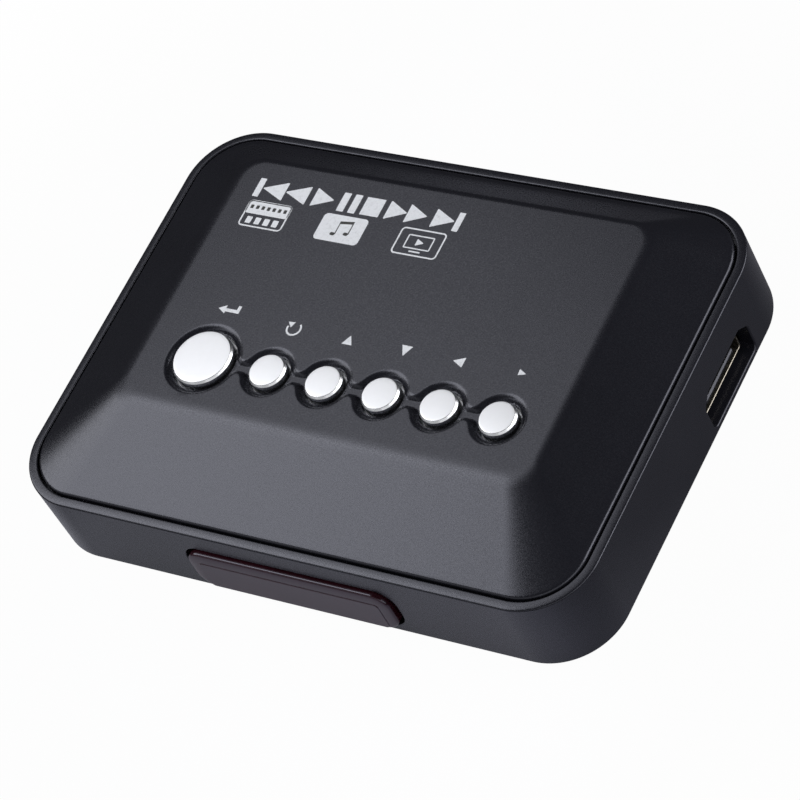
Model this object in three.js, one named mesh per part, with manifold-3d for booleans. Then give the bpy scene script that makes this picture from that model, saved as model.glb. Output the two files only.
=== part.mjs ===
// Small media player: a shallow moulded shell with a raised cover, a row of six keys on top,
// an infrared window in front and sockets round the sides.
// Millimetres, +Z up, front towards -Y. Origin: middle of the outer box, on the surface it stands on.
import * as THREE from 'three';
import { mergeVertices } from 'three/addons/utils/BufferGeometryUtils.js';
import Module from 'manifold-3d';

const wasm = await Module();
wasm.setup();

// General clearances
const seatGap = 0.3;          // between a piece and what carries it
const overrun = 1;            // how far a cutting tool runs past a face
const cornerSteps = 6;        // facets on a quarter turn of the case's corners
const roundSides = 24;        // facets round a key, a foot and their holes
const smallSides = 14;        // facets round a screw, a post or a small hole

// Lower shell
const caseLength = 110;
const caseWidth = 80;
const rimHeight = 15.4;       // top edge above the shell's underside
const caseCorner = 12;
const shellWall = 2.75;
const rimWall = 1.55;
const shellFloor = 1.5;
const rimDepth = 2.8;         // depth of the rebate that the cover drops into
const bottomRound = 0.35;     // softened lower edge
const rimRound = 0.35;        // softened upper edge
const footStand = 0.8;        // how far the feet hold the shell off the table

// Cover: a low pyramid with a flat top, set back towards the rear
const coverGap = 0.5;
const coverCorner = 10;
const coverEdgeRound = 0.35;
const coverRise = 5.7;        // flat top above the rim
const frontSlope = 17.3;
const sideSlope = 12.8;
const rearSlope = 7.7;
const plateauCorner = 3;
const coverWall = 1.6;
const topWall = 2;
const blendShare = 0.1;       // part of each slope taken by the rounding at its top

// Keys: places along the row are shares of the flat top's half length
const enterKeyShare = -0.69;
const firstKeyShare = -0.36;
const keyStepShare = 0.28;
const enterKeyRadius = 5.45;
const keyRadius = 3.37;
const keyRowBack = 9.95;      // key row behind the flat top's front edge
const keyRise = 0.65;         // face above the cover's flat top
const keyBevel = 0.3;
const keyHoleGap = 0.35;
const keyFlange = 0.6;
const keyFlangeThickness = 0.8;
const keyStemRadius = 1.5;
const keyTravel = 0.4;

// Dished track that runs round the keys
const trackDepth = 0.85;
const trackMargin = 1.5;      // flat and slope of the dish outside a key
const trackSlope = 0.7;
const trackNeck = 2;

// Key board and its switches
const boardThickness = 1.2;
const keyBoardDrop = 6;       // from the cover's ceiling to the board's top
const keyBoardMargin = 3.3;   // beyond the outer keys
const keyBoardFront = 7.6;    // ahead of the key row
const keyBoardRear = 9.9;     // behind the key row
const switchSide = 6;
const switchHeight = 2.2;
const switchBoreDepth = 1.6;
const plungerRadius = 1.6;
const plungerRise = 0.9;
const keyPostRadius = 2.4;
const keyPostBack = 6.8;      // behind the key row

// Screws
const screwRadius = 1.1;
const screwHeadRadius = 2.2;
const screwHeadHeight = 1.5;
const driveRadius = 1;
const driveDepth = 0.8;
const postWall = 1.5;         // plastic round a screw's bore
const casePostInset = 9.5;    // from the case's outer faces
const caseScrewLength = 12.2;
const keyScrewLength = 5.6;

// Feet
const footRadius = 4.5;
const footRecess = 0.7;

// Main board
const boardLift = 3.4;        // underside above the shell's underside
const boardGap = 0.75;        // from the shell's inner wall
const boardFrontGap = 1.8;
const boardCorner = 8;
const boardPostShare = 0.62;  // across the board's half length
const boardPostFront = 6.5;   // from the board's front edge
const boardPostRear = 5.5;    // from the board's rear edge

// Infrared window
const windowLength = 40;
const windowFaceLength = 36;
const windowBottom = 1;
const windowHeight = 9.6;
const windowFaceInset = 0.5;
const windowTopInset = 0.1;
const windowProud = 1.07;
const windowCorner = 2.4;
const windowFlange = 1.2;
const windowFlangeThickness = 0.9;

// Video socket in the right wall
const videoFromRear = 24.4;   // centre, from the case's rear face
const videoBottom = 1.85;
const videoWidth = 15;
const videoHeight = 5.3;
const videoDepth = 11;
const videoSetback = 2.1;     // mouth behind the case's outer face
const videoSkin = 0.45;
const videoTongueWidth = 11.2;
const videoTongueThickness = 1.3;
const videoTongueSetback = 1.5;  // blade's tip behind the mouth
const videoCutWidth = 17;
const videoCutBottom = 0.7;
const videoCutTop = 8.35;
const videoCutCorner = 0.8;
const videoCutChamfer = 2.5;
const videoCutChamferDrop = 2;

// Data socket in the left wall
const dataShare = -0.376;     // centre, along the wall's half length
const dataBottom = 1.9;
const dataWidth = 13.2;
const dataHeight = 5.8;
const dataDepth = 13;
const dataSkin = 0.45;
const dataTongueWidth = 11;
const dataTongueThickness = 1.8;
const dataCutMargin = 0.8;

// Card socket in the left wall
const cardShare = 0.25;       // centre, along the wall's half length
const cardWidth = 14.5;
const cardHeight = 2.2;
const cardDepth = 15;
const cardSkin = 0.35;

// Round sockets in the rear wall
const powerFromPost = 11.5;   // centre, from the case post beside it
const powerBodyWidth = 9;
const powerBodyHeight = 7.6;
const powerBodyDepth = 11;
const powerBarrelRadius = 3.7;
const powerBoreRadius = 2.9;
const powerPinRadius = 0.9;
const powerPinSetback = 1.2;
const soundShare = -0.34;     // centre, along the wall's half length
const soundBodyWidth = 7;
const soundBodyHeight = 5.6;
const soundBodyDepth = 11;
const soundBarrelRadius = 2.7;
const soundBoreRadius = 1.8;
const barrelSetback = 0.6;    // a socket's nose behind the case's outer face
const rearBoreDepth = 8;

// Parts on the main board: their places are shares of the board's half length and half width
const processorShares = [0.27, 0.27];
const processorWidth = 17;
const processorHeight = 1.2;
const sinkSide = 22;
const sinkBase = 1.2;
const sinkHeight = 3.4;
const sinkFins = 7;
const sinkFinThickness = 1.1;
const chipHeight = 1.1;
const memoryShares = [[0.64, 0.33], [0.64, -0.08]];
const memoryWidth = 8;
const memoryDepth = 11;
const flashShares = [-0.27, -0.555];
const flashWidth = 18;
const flashDepth = 12;
const capacitorRadius = 3.15;
const capacitorHeight = 5.5;
const capacitorRear = 6.5;    // from the board's rear edge
const capacitorShares = [-0.155, 0.02];
const coilShares = [-0.33, 0.39];
const coilSide = 7;
const coilHeight = 3;
const coilChamfer = 1.2;
const crystalShares = [0.43, -0.4];
const crystalLength = 11;
const crystalDepth = 4.4;
const crystalHeight = 3.4;
const sensorShare = 0.2;      // across the window's length
const sensorWidth = 6;
const sensorDepth = 3.6;
const sensorHeight = 5.2;
const sensorLensRadius = 1.9;
const lampShare = -0.2;
const lampRadius = 1.5;
const lampHeight = 4.6;
const behindWindow = 1.6;     // from the window's flange to the sensor and the lamp

// Board to board link
const linkShare = -0.165;     // across the board's half length
const linkBack = 5.2;         // behind the key row
const linkLength = 12;
const linkPins = 6;
const pinSide = 0.64;
const headerHeight = 2.4;
const headerDepth = 2.5;
const pinRise = 3;
const socketHeight = 4;
const socketDepth = 3.8;
const socketSlot = 1.5;

// Heights and walls that follow from the sizes above
const base = footStand;
const rimTop = base + rimHeight;
const ledgeTop = rimTop - rimDepth;
const floorTop = base + shellFloor;
const halfLength = caseLength / 2;
const halfWidth = caseWidth / 2;
const innerX = halfLength - shellWall;
const innerY = halfWidth - shellWall;
const coverX = halfLength - rimWall - coverGap;
const coverY = halfWidth - rimWall - coverGap;
const plateauTop = rimTop + coverRise;
const ceiling = plateauTop - topWall;
const skirtBottom = ledgeTop + seatGap;
const trackFloor = plateauTop - trackDepth;
const keyTop = plateauTop + keyRise;
const flangeTop = ceiling - seatGap;
const flangeBottom = flangeTop - keyFlangeThickness;
const keyBoardTop = ceiling - keyBoardDrop;
const keyBoardBottom = keyBoardTop - boardThickness;
const switchBottom = keyBoardTop + seatGap;
const switchTop = switchBottom + switchHeight;
const plungerTop = switchTop + plungerRise;
const plungerBottom = switchTop - switchBoreDepth + keyTravel + seatGap;
const boardBottom = base + boardLift;
const boardTop = boardBottom + boardThickness;
const onBoard = boardTop + seatGap;
const boardScrewLength = onBoard - floorTop - seatGap;
const postRadius = screwRadius + seatGap + postWall;
const casePostRadius = screwHeadRadius + seatGap + postWall;
const boardFrontY = -innerY + boardFrontGap;
const boardRearY = innerY - boardGap;
const boardX = innerX - boardGap;
const boardY = (boardRearY - boardFrontY) / 2;
const plateauX = coverX - coverEdgeRound - sideSlope;
const plateauFront = -coverY + coverEdgeRound + frontSlope;
const keyRowY = plateauFront + keyRowBack;
const casePostX = halfLength - casePostInset;
const casePostY = halfWidth - casePostInset;
const videoY = halfWidth - videoFromRear;
const dataY = innerY * dataShare;
const cardY = innerY * cardShare;
const powerX = -casePostX + powerFromPost;
const soundX = innerX * soundShare;
const processor = onBoardAt(processorShares);
const flash = onBoardAt(flashShares);
const coil = onBoardAt(coilShares);
const crystal = onBoardAt(crystalShares);
const linkX = boardX * linkShare;
const linkY = keyRowY + linkBack;

// Place on the main board, from shares of its half length and half width.
function onBoardAt([across, along]) {
  return { x: boardX * across, y: boardY * along };
}

// Materials
const paint = (color, roughness, metalness = 0) =>
  new THREE.MeshStandardMaterial({ color, roughness, metalness });
const blackPlastic = paint(0x1d1e21, 0.45);
const smokedPlastic = paint(0x2a1014, 0.12);
const silver = paint(0xd8d9db, 0.3, 1);
const steel = paint(0x9a9ca0, 0.35, 1);
const tin = paint(0xb9bbbe, 0.3, 1);
const boardGreen = paint(0x1f4d33, 0.55);
const chipBlack = paint(0x17181a, 0.6);
const aluminium = paint(0x8f9296, 0.4, 1);
const ferrite = paint(0x3b3c3f, 0.7);
const rubber = paint(0x121213, 0.9);
const clearResin = paint(0xbfd8e8, 0.1);
const whiteNylon = paint(0xd9d6cc, 0.5);

const player = new THREE.Group();
const assembly = new THREE.Group();
assembly.position.y = windowProud / 2;
player.add(assembly);

// Keeps only positions, joins shared corners and drops the slivers at a turned shape's poles.
function weld(geometry) {
  const bare = new THREE.BufferGeometry();
  bare.setAttribute('position', geometry.getAttribute('position').clone());
  if (geometry.index) bare.setIndex(geometry.index.clone());
  const merged = mergeVertices(bare);
  const corners = merged.index.array;
  const kept = [];
  for (let i = 0; i < corners.length; i += 3) {
    const [a, b, c] = corners.slice(i, i + 3);
    if (a !== b && b !== c && c !== a) kept.push(a, b, c);
  }
  merged.setIndex(kept);
  return merged;
}

// A three.js geometry as a solid that can be joined and cut.
function solid(geometry) {
  const welded = weld(geometry);
  return new wasm.Manifold(new wasm.Mesh({
    numProp: 3,
    vertProperties: new Float32Array(welded.getAttribute('position').array),
    triVerts: new Uint32Array(welded.index.array),
  }));
}

const join = (...geometries) => geometries.map(solid).reduce((whole, one) => whole.add(one));
const cut = (body, ...tools) => tools.reduce((left, tool) => left.subtract(solid(tool)), body);

// Adds one named piece, from a geometry or a joined and cut solid.
function piece(name, shape, material) {
  let geometry = shape;
  if (!shape.isBufferGeometry) {
    const made = shape.getMesh();
    geometry = new THREE.BufferGeometry();
    geometry.setAttribute('position', new THREE.BufferAttribute(made.vertProperties, 3));
    geometry.setIndex(new THREE.BufferAttribute(made.triVerts, 1));
  }
  const mesh = new THREE.Mesh(weld(geometry), material);
  mesh.name = name;
  assembly.add(mesh);
}

// Box between two corners.
function block([x0, y0, z0], [x1, y1, z1]) {
  const box = new THREE.BoxGeometry(x1 - x0, y1 - y0, z1 - z0);
  return box.translate((x0 + x1) / 2, (y0 + y1) / 2, (z0 + z1) / 2);
}

// Box of a width and depth about a centre, between two heights.
function pad(x, y, width, depth, z0, z1) {
  return block([x - width / 2, y - depth / 2, z0], [x + width / 2, y + depth / 2, z1]);
}

// Upright round bar, which may taper.
function drum(x, y, radius, z0, z1, sides = smallSides, topRadius = radius) {
  const bar = new THREE.CylinderGeometry(topRadius, radius, z1 - z0, sides);
  return bar.rotateX(Math.PI / 2).translate(x, y, (z0 + z1) / 2);
}

// Solid of revolution about an upright axis, from [radius, height] corners, lowest first.
function turned(x, y, profile, sides) {
  const outline = profile.map(([radius, height]) => new THREE.Vector2(radius, height));
  return new THREE.LatheGeometry(outline, sides).rotateX(Math.PI / 2).translate(x, y, 0);
}

// Corners of a rounded rectangle, the same number for every ring of one loft.
function ringPoints({ x0, x1, y0, y1, corner, z }) {
  const centres = [[x1 - corner, y1 - corner], [x0 + corner, y1 - corner],
    [x0 + corner, y0 + corner], [x1 - corner, y0 + corner]];
  return centres.flatMap(([cx, cy], quarter) => {
    const arc = [];
    for (let step = 0; step <= cornerSteps; step += 1) {
      const angle = (quarter + step / cornerSteps) * Math.PI / 2;
      arc.push([cx + corner * Math.cos(angle), cy + corner * Math.sin(angle), z]);
    }
    return arc;
  });
}

// Closed solid through a stack of rounded rectangles, lowest first.
function loft(rings) {
  const loops = rings.map(ringPoints);
  const count = loops[0].length;
  const positions = loops.flat(2);
  const faces = [];
  for (let level = 0; level + 1 < loops.length; level += 1) {
    for (let i = 0; i < count; i += 1) {
      const a = level * count + i;
      const b = level * count + (i + 1) % count;
      faces.push(a, b, b + count, a, b + count, a + count);
    }
  }
  const top = (loops.length - 1) * count;
  for (let i = 1; i + 1 < count; i += 1) {
    faces.push(0, i + 1, i);
    faces.push(top, top + i, top + i + 1);
  }
  const geometry = new THREE.BufferGeometry();
  geometry.setAttribute('position', new THREE.Float32BufferAttribute(positions, 3));
  geometry.setIndex(faces);
  return geometry;
}

// Ring centred on the case.
const centred = (halfX, halfY, corner, z) =>
  ({ x0: -halfX, x1: halfX, y0: -halfY, y1: halfY, corner, z });

// Extruded outline of [x, y] corners between two heights.
function prism(corners, z0, z1) {
  const shape = new THREE.Shape(corners.map(([x, y]) => new THREE.Vector2(x, y)));
  return new THREE.ExtrudeGeometry(shape, { depth: z1 - z0, bevelEnabled: false }).translate(0, 0, z0);
}

// Where the six keys stand: the large one, then five at one pitch.
const smallKeyNames = ['return', 'up', 'down', 'left', 'right'];
const keys = [{ name: 'enter', x: plateauX * enterKeyShare, radius: enterKeyRadius }];
smallKeyNames.forEach((name, i) => {
  keys.push({ name, x: plateauX * (firstKeyShare + i * keyStepShare), radius: keyRadius });
});
const enterKeyX = keys.at(0).x;
const lastKeyX = keys.at(-1).x;

const casePosts = [[-1, -1], [1, -1], [1, 1], [-1, 1]].map(([sx, sy]) => [sx * casePostX, sy * casePostY]);
const boardPostX = boardX * boardPostShare;
const boardPosts = [[-boardPostX, boardFrontY + boardPostFront], [boardPostX, boardRearY - boardPostRear]];
const boardRests = [[boardPostX, boardFrontY + boardPostFront], [0, boardRearY - boardPostRear]];
const keyPosts = [0, 4].map((i) => [(keys[i].x + keys[i + 1].x) / 2, keyRowY + keyPostBack]);

// Lower shell: a tray with a rebated rim, posts for the boards and screws, and socket openings
function lowerShell() {
  const softBottom = halfLength - bottomRound;
  const outside = loft([
    centred(softBottom, halfWidth - bottomRound, caseCorner - bottomRound, base),
    centred(halfLength - bottomRound / 4, halfWidth - bottomRound / 4,
      caseCorner - bottomRound / 4, base + bottomRound / 3),
    centred(halfLength, halfWidth, caseCorner, base + bottomRound),
    centred(halfLength, halfWidth, caseCorner, rimTop - rimRound),
    centred(halfLength - rimRound, halfWidth - rimRound, caseCorner - rimRound, rimTop),
  ]);
  const hollow = loft([
    centred(innerX, innerY, caseCorner - shellWall, floorTop),
    centred(innerX, innerY, caseCorner - shellWall, rimTop + overrun),
  ]);
  const rebate = loft([
    centred(halfLength - rimWall, halfWidth - rimWall, caseCorner - rimWall, ledgeTop),
    centred(halfLength - rimWall, halfWidth - rimWall, caseCorner - rimWall, rimTop + overrun),
  ]);
  let shell = cut(solid(outside), hollow, rebate);
  for (const [x, y] of casePosts) {
    shell = shell.add(solid(drum(x, y, casePostRadius, floorTop - shellFloor / 2, ledgeTop)));
  }
  for (const [x, y] of [...boardPosts, ...boardRests]) {
    shell = shell.add(solid(drum(x, y, postRadius, floorTop - shellFloor / 2, boardBottom - seatGap)));
  }
  for (const [x, y] of casePosts) {
    shell = cut(shell,
      drum(x, y, footRadius + seatGap, base - overrun, base + footRecess, roundSides),
      drum(x, y, screwHeadRadius + seatGap, base - overrun, caseScrewSeat()),
      drum(x, y, screwRadius + seatGap, base, ledgeTop + overrun));
  }
  for (const [x, y] of boardPosts) {
    shell = cut(shell, drum(x, y, screwRadius + seatGap, floorTop, boardBottom));
  }
  return cut(shell, windowOpening(), videoOpening(), dataOpening(), cardOpening(),
    rearOpening(powerX, powerBarrelRadius, powerBodyHeight),
    rearOpening(soundX, soundBarrelRadius, soundBodyHeight));
}

// Ceiling of the pocket that a case screw's head sits in.
const caseScrewSeat = () => base + footRecess + screwHeadHeight + seatGap * 2;

// Opening in the front wall for the infrared window.
function windowOpening() {
  const opening = loft([
    windowRing(windowLength, windowBottom, windowBottom + windowHeight, -shellWall - overrun, seatGap),
    windowRing(windowLength, windowBottom, windowBottom + windowHeight, overrun, seatGap),
  ]);
  return ontoFront(opening);
}

// Ring of the window, in the wall's own plane: across, up, and out from the wall's face.
function windowRing(length, bottom, top, out, grow = 0) {
  return { x0: -length / 2 - grow, x1: length / 2 + grow,
    y0: base + bottom - grow, y1: base + top + grow, corner: windowCorner + grow, z: out };
}

// Stands a shape drawn flat onto the front wall.
const ontoFront = (geometry) => geometry.rotateX(Math.PI / 2).translate(0, -halfWidth, 0);

// Turns an outline drawn as [along the wall, up] into a prism that runs along X.
function alongX(corners, y, z, x0, x1) {
  const bar = prism(corners, 0, x1 - x0);
  bar.rotateX(Math.PI / 2).rotateZ(Math.PI / 2);
  return bar.translate(x0, y, z);
}

// Opening in the right wall round the video socket, its upper corners cut off like the socket's.
function videoOpening() {
  const half = videoCutWidth / 2;
  const height = videoCutTop - videoCutBottom;
  const shoulder = height - videoCutChamferDrop;
  const outline = [[-half + videoCutCorner, 0], [half - videoCutCorner, 0], [half, videoCutCorner],
    [half, shoulder], [half - videoCutChamfer, height], [-half + videoCutChamfer, height],
    [-half, shoulder], [-half, videoCutCorner]];
  return alongX(outline, videoY, base + videoCutBottom, innerX - overrun, halfLength + overrun);
}

// Opening in the left wall round the data socket.
function dataOpening() {
  const half = dataWidth / 2 + dataCutMargin;
  return block([-halfLength - overrun, dataY - half, base + dataBottom - dataCutMargin],
    [-innerX + overrun, dataY + half, base + dataBottom + dataHeight + dataCutMargin]);
}

// Slot in the left wall for the card.
function cardOpening() {
  const half = cardWidth / 2 - cardSkin;
  return block([-halfLength - overrun, cardY - half, onBoard],
    [-innerX + overrun, cardY + half, onBoard + cardHeight]);
}

// Height of a rear socket's axis.
const rearAxis = (bodyHeight) => onBoard + bodyHeight / 2;

// Round bar along Y.
function bar(x, z, radius, y0, y1, sides = roundSides) {
  return new THREE.CylinderGeometry(radius, radius, y1 - y0, sides).translate(x, (y0 + y1) / 2, z);
}

function rearOpening(x, barrelRadius, bodyHeight) {
  return bar(x, rearAxis(bodyHeight), barrelRadius + seatGap, innerY - overrun, halfWidth + overrun);
}

// Ring of the cover's outside: at share 0 on the outer edge, at 1 on the edge of the flat top.
function coverRing(share, z, inset = 0) {
  const edge = coverEdgeRound + inset;
  return {
    x0: -coverX + edge + sideSlope * share,
    x1: coverX - edge - sideSlope * share,
    y0: -coverY + edge + frontSlope * share,
    y1: coverY - edge - rearSlope * share,
    corner: coverCorner + (plateauCorner - coverCorner) * share,
    z,
  };
}

// Cover: sloped skin, inner skirt, dished key track with round holes, and posts underneath
function topCover() {
  const outside = loft([
    centred(coverX, coverY, coverCorner, skirtBottom),
    centred(coverX, coverY, coverCorner, rimTop - coverEdgeRound),
    coverRing(0, rimTop),
    coverRing(1 - blendShare, plateauTop - coverRise * blendShare),
    coverRing(1, plateauTop - coverRise * blendShare / 4),
    coverRing(1 + blendShare, plateauTop),
  ]);
  const inside = loft([
    centred(coverX - coverWall, coverY - coverWall, coverCorner - coverWall, skirtBottom - overrun),
    coverRing(0, rimTop - topWall, coverWall),
    coverRing(1, ceiling, coverWall),
  ]);
  let cover = cut(solid(outside), inside);
  for (const [x, y] of casePosts) {
    const post = solid(drum(x, y, postRadius, ledgeTop + seatGap, ceiling));
    cover = cover.add(post.intersect(solid(outside)));
  }
  for (const [x, y] of keyPosts) {
    cover = cover.add(solid(drum(x, y, keyPostRadius, switchBottom, ceiling + topWall / 2)));
  }
  for (const [x, y] of casePosts) {
    cover = cut(cover, drum(x, y, screwRadius + seatGap, skirtBottom - overrun,
      caseScrewSeat() + caseScrewLength));
  }
  for (const [x, y] of keyPosts) {
    cover = cut(cover, drum(x, y, screwRadius + seatGap, skirtBottom - overrun,
      keyBoardBottom + keyScrewLength));
  }
  for (const { x, radius } of keys) {
    const rim = radius + trackMargin;
    const slopeRun = trackSlope * (trackDepth + overrun) / trackDepth;
    cover = cut(cover,
      drum(x, keyRowY, rim - trackSlope, trackFloor, plateauTop + overrun, roundSides,
        rim - trackSlope + slopeRun),
      drum(x, keyRowY, radius + keyHoleGap, ceiling - overrun, plateauTop + overrun, roundSides));
  }
  return cut(cover, block([enterKeyX, keyRowY - trackNeck / 2, trackFloor],
    [lastKeyX, keyRowY + trackNeck / 2, plateauTop + overrun]));
}

// Infrared window: a bevelled front, a neck through the wall and a flange behind it
function infraredWindow() {
  const top = windowBottom + windowHeight;
  const behind = -shellWall - seatGap;
  const flange = loft([behind - windowFlangeThickness, behind].map((out) => (
    { ...windowRing(windowLength, windowBottom, top, out, windowFlange), y0: floorTop + seatGap })));
  const front = loft([
    windowRing(windowLength, windowBottom, top, behind - windowFlangeThickness / 2),
    windowRing(windowLength, windowBottom, top, 0),
    windowRing(windowFaceLength, windowBottom + windowFaceInset, top - windowTopInset, windowProud),
  ]);
  return join(ontoFront(flange), ontoFront(front));
}

// One key: bevelled cap, retaining flange and the stem that meets its switch
function keyCap({ x, radius }) {
  return turned(x, keyRowY, [
    [0, plungerTop + seatGap], [keyStemRadius, plungerTop + seatGap], [keyStemRadius, flangeBottom],
    [radius + keyFlange, flangeBottom], [radius + keyFlange, flangeTop], [radius, flangeTop],
    [radius, keyTop - keyBevel], [radius - keyBevel, keyTop], [0, keyTop],
  ], roundSides);
}

function switchBody({ x }) {
  return cut(solid(pad(x, keyRowY, switchSide, switchSide, switchBottom, switchTop)),
    drum(x, keyRowY, plungerRadius + seatGap, switchTop - switchBoreDepth, switchTop + overrun));
}

const switchPlunger = ({ x }) => drum(x, keyRowY, plungerRadius, plungerBottom, plungerTop);

// Board under the keys, with holes for its two screws.
function keyBoard() {
  const plate = block([enterKeyX - enterKeyRadius - keyBoardMargin, keyRowY - keyBoardFront, keyBoardBottom],
    [lastKeyX + keyRadius + keyBoardMargin, keyRowY + keyBoardRear, keyBoardTop]);
  return cut(solid(plate), ...keyPosts.map(([x, y]) =>
    drum(x, y, screwRadius + seatGap, keyBoardBottom - overrun, keyBoardTop + overrun)));
}

// Screw that points up: a drum head below with a round drive recess, and a plain shank.
function screwUp(x, y, seat, length) {
  const head = seat - screwHeadHeight;
  return turned(x, y, [[0, head + driveDepth], [driveRadius, head + driveDepth], [driveRadius, head],
    [screwHeadRadius, head], [screwHeadRadius, seat], [screwRadius, seat],
    [screwRadius, seat + length], [0, seat + length]], smallSides);
}

// Screw that points down, its head on top.
function screwDown(x, y, seat, length) {
  const head = seat + screwHeadHeight;
  return turned(x, y, [[0, seat - length], [screwRadius, seat - length], [screwRadius, seat],
    [screwHeadRadius, seat], [screwHeadRadius, head], [driveRadius, head],
    [driveRadius, head - driveDepth], [0, head - driveDepth]], smallSides);
}

// Main board: rounded plate with clearances for the case posts and the two sunk sockets
function mainBoard() {
  const plate = loft([boardBottom, boardTop].map((z) => (
    { x0: -boardX, x1: boardX, y0: boardFrontY, y1: boardRearY, corner: boardCorner, z })));
  let board = cut(solid(plate), ...casePosts.map(([x, y]) =>
    drum(x, y, casePostRadius + seatGap * 2, boardBottom - overrun, boardTop + overrun)));
  board = cut(board, ...boardPosts.map(([x, y]) =>
    drum(x, y, screwRadius + seatGap, boardBottom - overrun, boardTop + overrun)));
  return cut(board,
    block([videoMouth - videoDepth - seatGap, videoY - videoWidth / 2 - seatGap, boardBottom - overrun],
      [boardX + overrun, videoY + videoWidth / 2 + seatGap, boardTop + overrun]),
    block([-boardX - overrun, dataY - dataWidth / 2 - seatGap, boardBottom - overrun],
      [-dataMouth + dataDepth + seatGap, dataY + dataWidth / 2 + seatGap, boardTop + overrun]));
}

// Sockets: a folded metal shell open at its mouth, and a moulded tongue inside it
const videoMouth = halfLength - videoSetback;
const dataMouth = innerX - seatGap;

// Outline of the video socket: full width below, drawn in above.
const videoShoulderShare = 0.5;
const videoWaistShare = 0.8;
const videoDrawShare = 0.1;
const videoBladeShare = 0.4;
function videoOutline(inset) {
  const half = videoWidth / 2 - inset;
  const high = half - videoWidth * videoDrawShare;
  const height = videoHeight - inset;
  const shoulder = videoHeight * videoShoulderShare;
  const waist = videoHeight * videoWaistShare;
  return [[-half, inset], [half, inset], [half, shoulder], [high, waist], [high, height],
    [-high, height], [-high, waist], [-half, shoulder]];
}

function videoShell() {
  const back = videoMouth - videoDepth;
  const outer = alongX(videoOutline(0), videoY, base + videoBottom, back, videoMouth);
  const inner = alongX(videoOutline(videoSkin), videoY, base + videoBottom,
    back + videoSkin, videoMouth + overrun);
  return cut(solid(outer), inner);
}

function videoTongue() {
  const back = videoMouth - videoDepth + videoSkin + seatGap;
  const heel = alongX(videoOutline(videoSkin + seatGap), videoY, base + videoBottom,
    back, back + videoDepth / 4);
  const middle = base + videoBottom + videoHeight * videoBladeShare;
  const halfBlade = videoTongueThickness / 2;
  const blade = block([back + videoDepth / 8, videoY - videoTongueWidth / 2, middle - halfBlade],
    [videoMouth - videoTongueSetback, videoY + videoTongueWidth / 2, middle + halfBlade]);
  return join(heel, blade);
}

function dataShell() {
  const bottom = base + dataBottom;
  const outer = block([-dataMouth, dataY - dataWidth / 2, bottom],
    [-dataMouth + dataDepth, dataY + dataWidth / 2, bottom + dataHeight]);
  const inner = block([-dataMouth - overrun, dataY - dataWidth / 2 + dataSkin, bottom + dataSkin],
    [-dataMouth + dataDepth - dataSkin, dataY + dataWidth / 2 - dataSkin, bottom + dataHeight - dataSkin]);
  return cut(solid(outer), inner);
}

function dataTongue() {
  const back = -dataMouth + dataDepth - dataSkin - seatGap;
  const inset = dataSkin + seatGap;
  const bottom = base + dataBottom;
  const heel = block([back - dataDepth / 5, dataY - dataWidth / 2 + inset, bottom + inset],
    [back, dataY + dataWidth / 2 - inset, bottom + dataHeight - inset]);
  const top = bottom + dataHeight - inset - dataSkin;
  const blade = block([-dataMouth + dataSkin, dataY - dataTongueWidth / 2, top - dataTongueThickness],
    [back - dataDepth / 10, dataY + dataTongueWidth / 2, top]);
  return join(heel, blade);
}

function cardSocket() {
  const outer = block([-dataMouth, cardY - cardWidth / 2, onBoard],
    [-dataMouth + cardDepth, cardY + cardWidth / 2, onBoard + cardHeight]);
  const inner = block([-dataMouth - overrun, cardY - cardWidth / 2 + cardSkin, onBoard + cardSkin],
    [-dataMouth + cardDepth - cardSkin, cardY + cardWidth / 2 - cardSkin, onBoard + cardHeight - cardSkin]);
  return cut(solid(outer), inner);
}

// Round socket in the rear wall: a square body behind, a bored nose through the wall.
function rearSocket(x, width, height, depth, barrelRadius, boreRadius) {
  const front = innerY - seatGap;
  const nose = halfWidth - barrelSetback;
  const body = join(block([x - width / 2, front - depth, onBoard], [x + width / 2, front, onBoard + height]),
    bar(x, rearAxis(height), barrelRadius, front - depth / 4, nose));
  return cut(body, bar(x, rearAxis(height), boreRadius, nose - rearBoreDepth, nose + overrun));
}

function powerPin() {
  const nose = halfWidth - barrelSetback;
  return bar(powerX, rearAxis(powerBodyHeight), powerPinRadius, nose - rearBoreDepth + seatGap,
    nose - powerPinSetback, smallSides);
}

// Heat sink: a base plate with upright fins along Y.
function heatSink() {
  const bottom = onBoard + processorHeight + seatGap;
  const plate = pad(processor.x, processor.y, sinkSide, sinkSide, bottom, bottom + sinkBase);
  const pitch = (sinkSide - sinkFinThickness) / (sinkFins - 1);
  const fins = [];
  for (let i = 0; i < sinkFins; i += 1) {
    const x = processor.x - (sinkSide - sinkFinThickness) / 2 + i * pitch;
    fins.push(pad(x, processor.y, sinkFinThickness, sinkSide, bottom + sinkBase / 2, bottom + sinkHeight));
  }
  return join(plate, ...fins);
}

// Low square coil with its corners cut off.
function powerCoil() {
  const half = coilSide / 2;
  const flat = half - coilChamfer;
  return prism([[-flat, -half], [flat, -half], [half, -flat], [half, flat],
    [flat, half], [-flat, half], [-half, flat], [-half, -flat]], onBoard, onBoard + coilHeight)
    .translate(coil.x, coil.y, 0);
}

// Long metal can with round ends.
const roundEndShare = 0.49;
function crystalCan() {
  const ring = (z) => ({ x0: crystal.x - crystalLength / 2, x1: crystal.x + crystalLength / 2,
    y0: crystal.y - crystalDepth / 2, y1: crystal.y + crystalDepth / 2,
    corner: crystalDepth * roundEndShare, z });
  return loft([ring(onBoard), ring(onBoard + crystalHeight)]);
}

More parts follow.
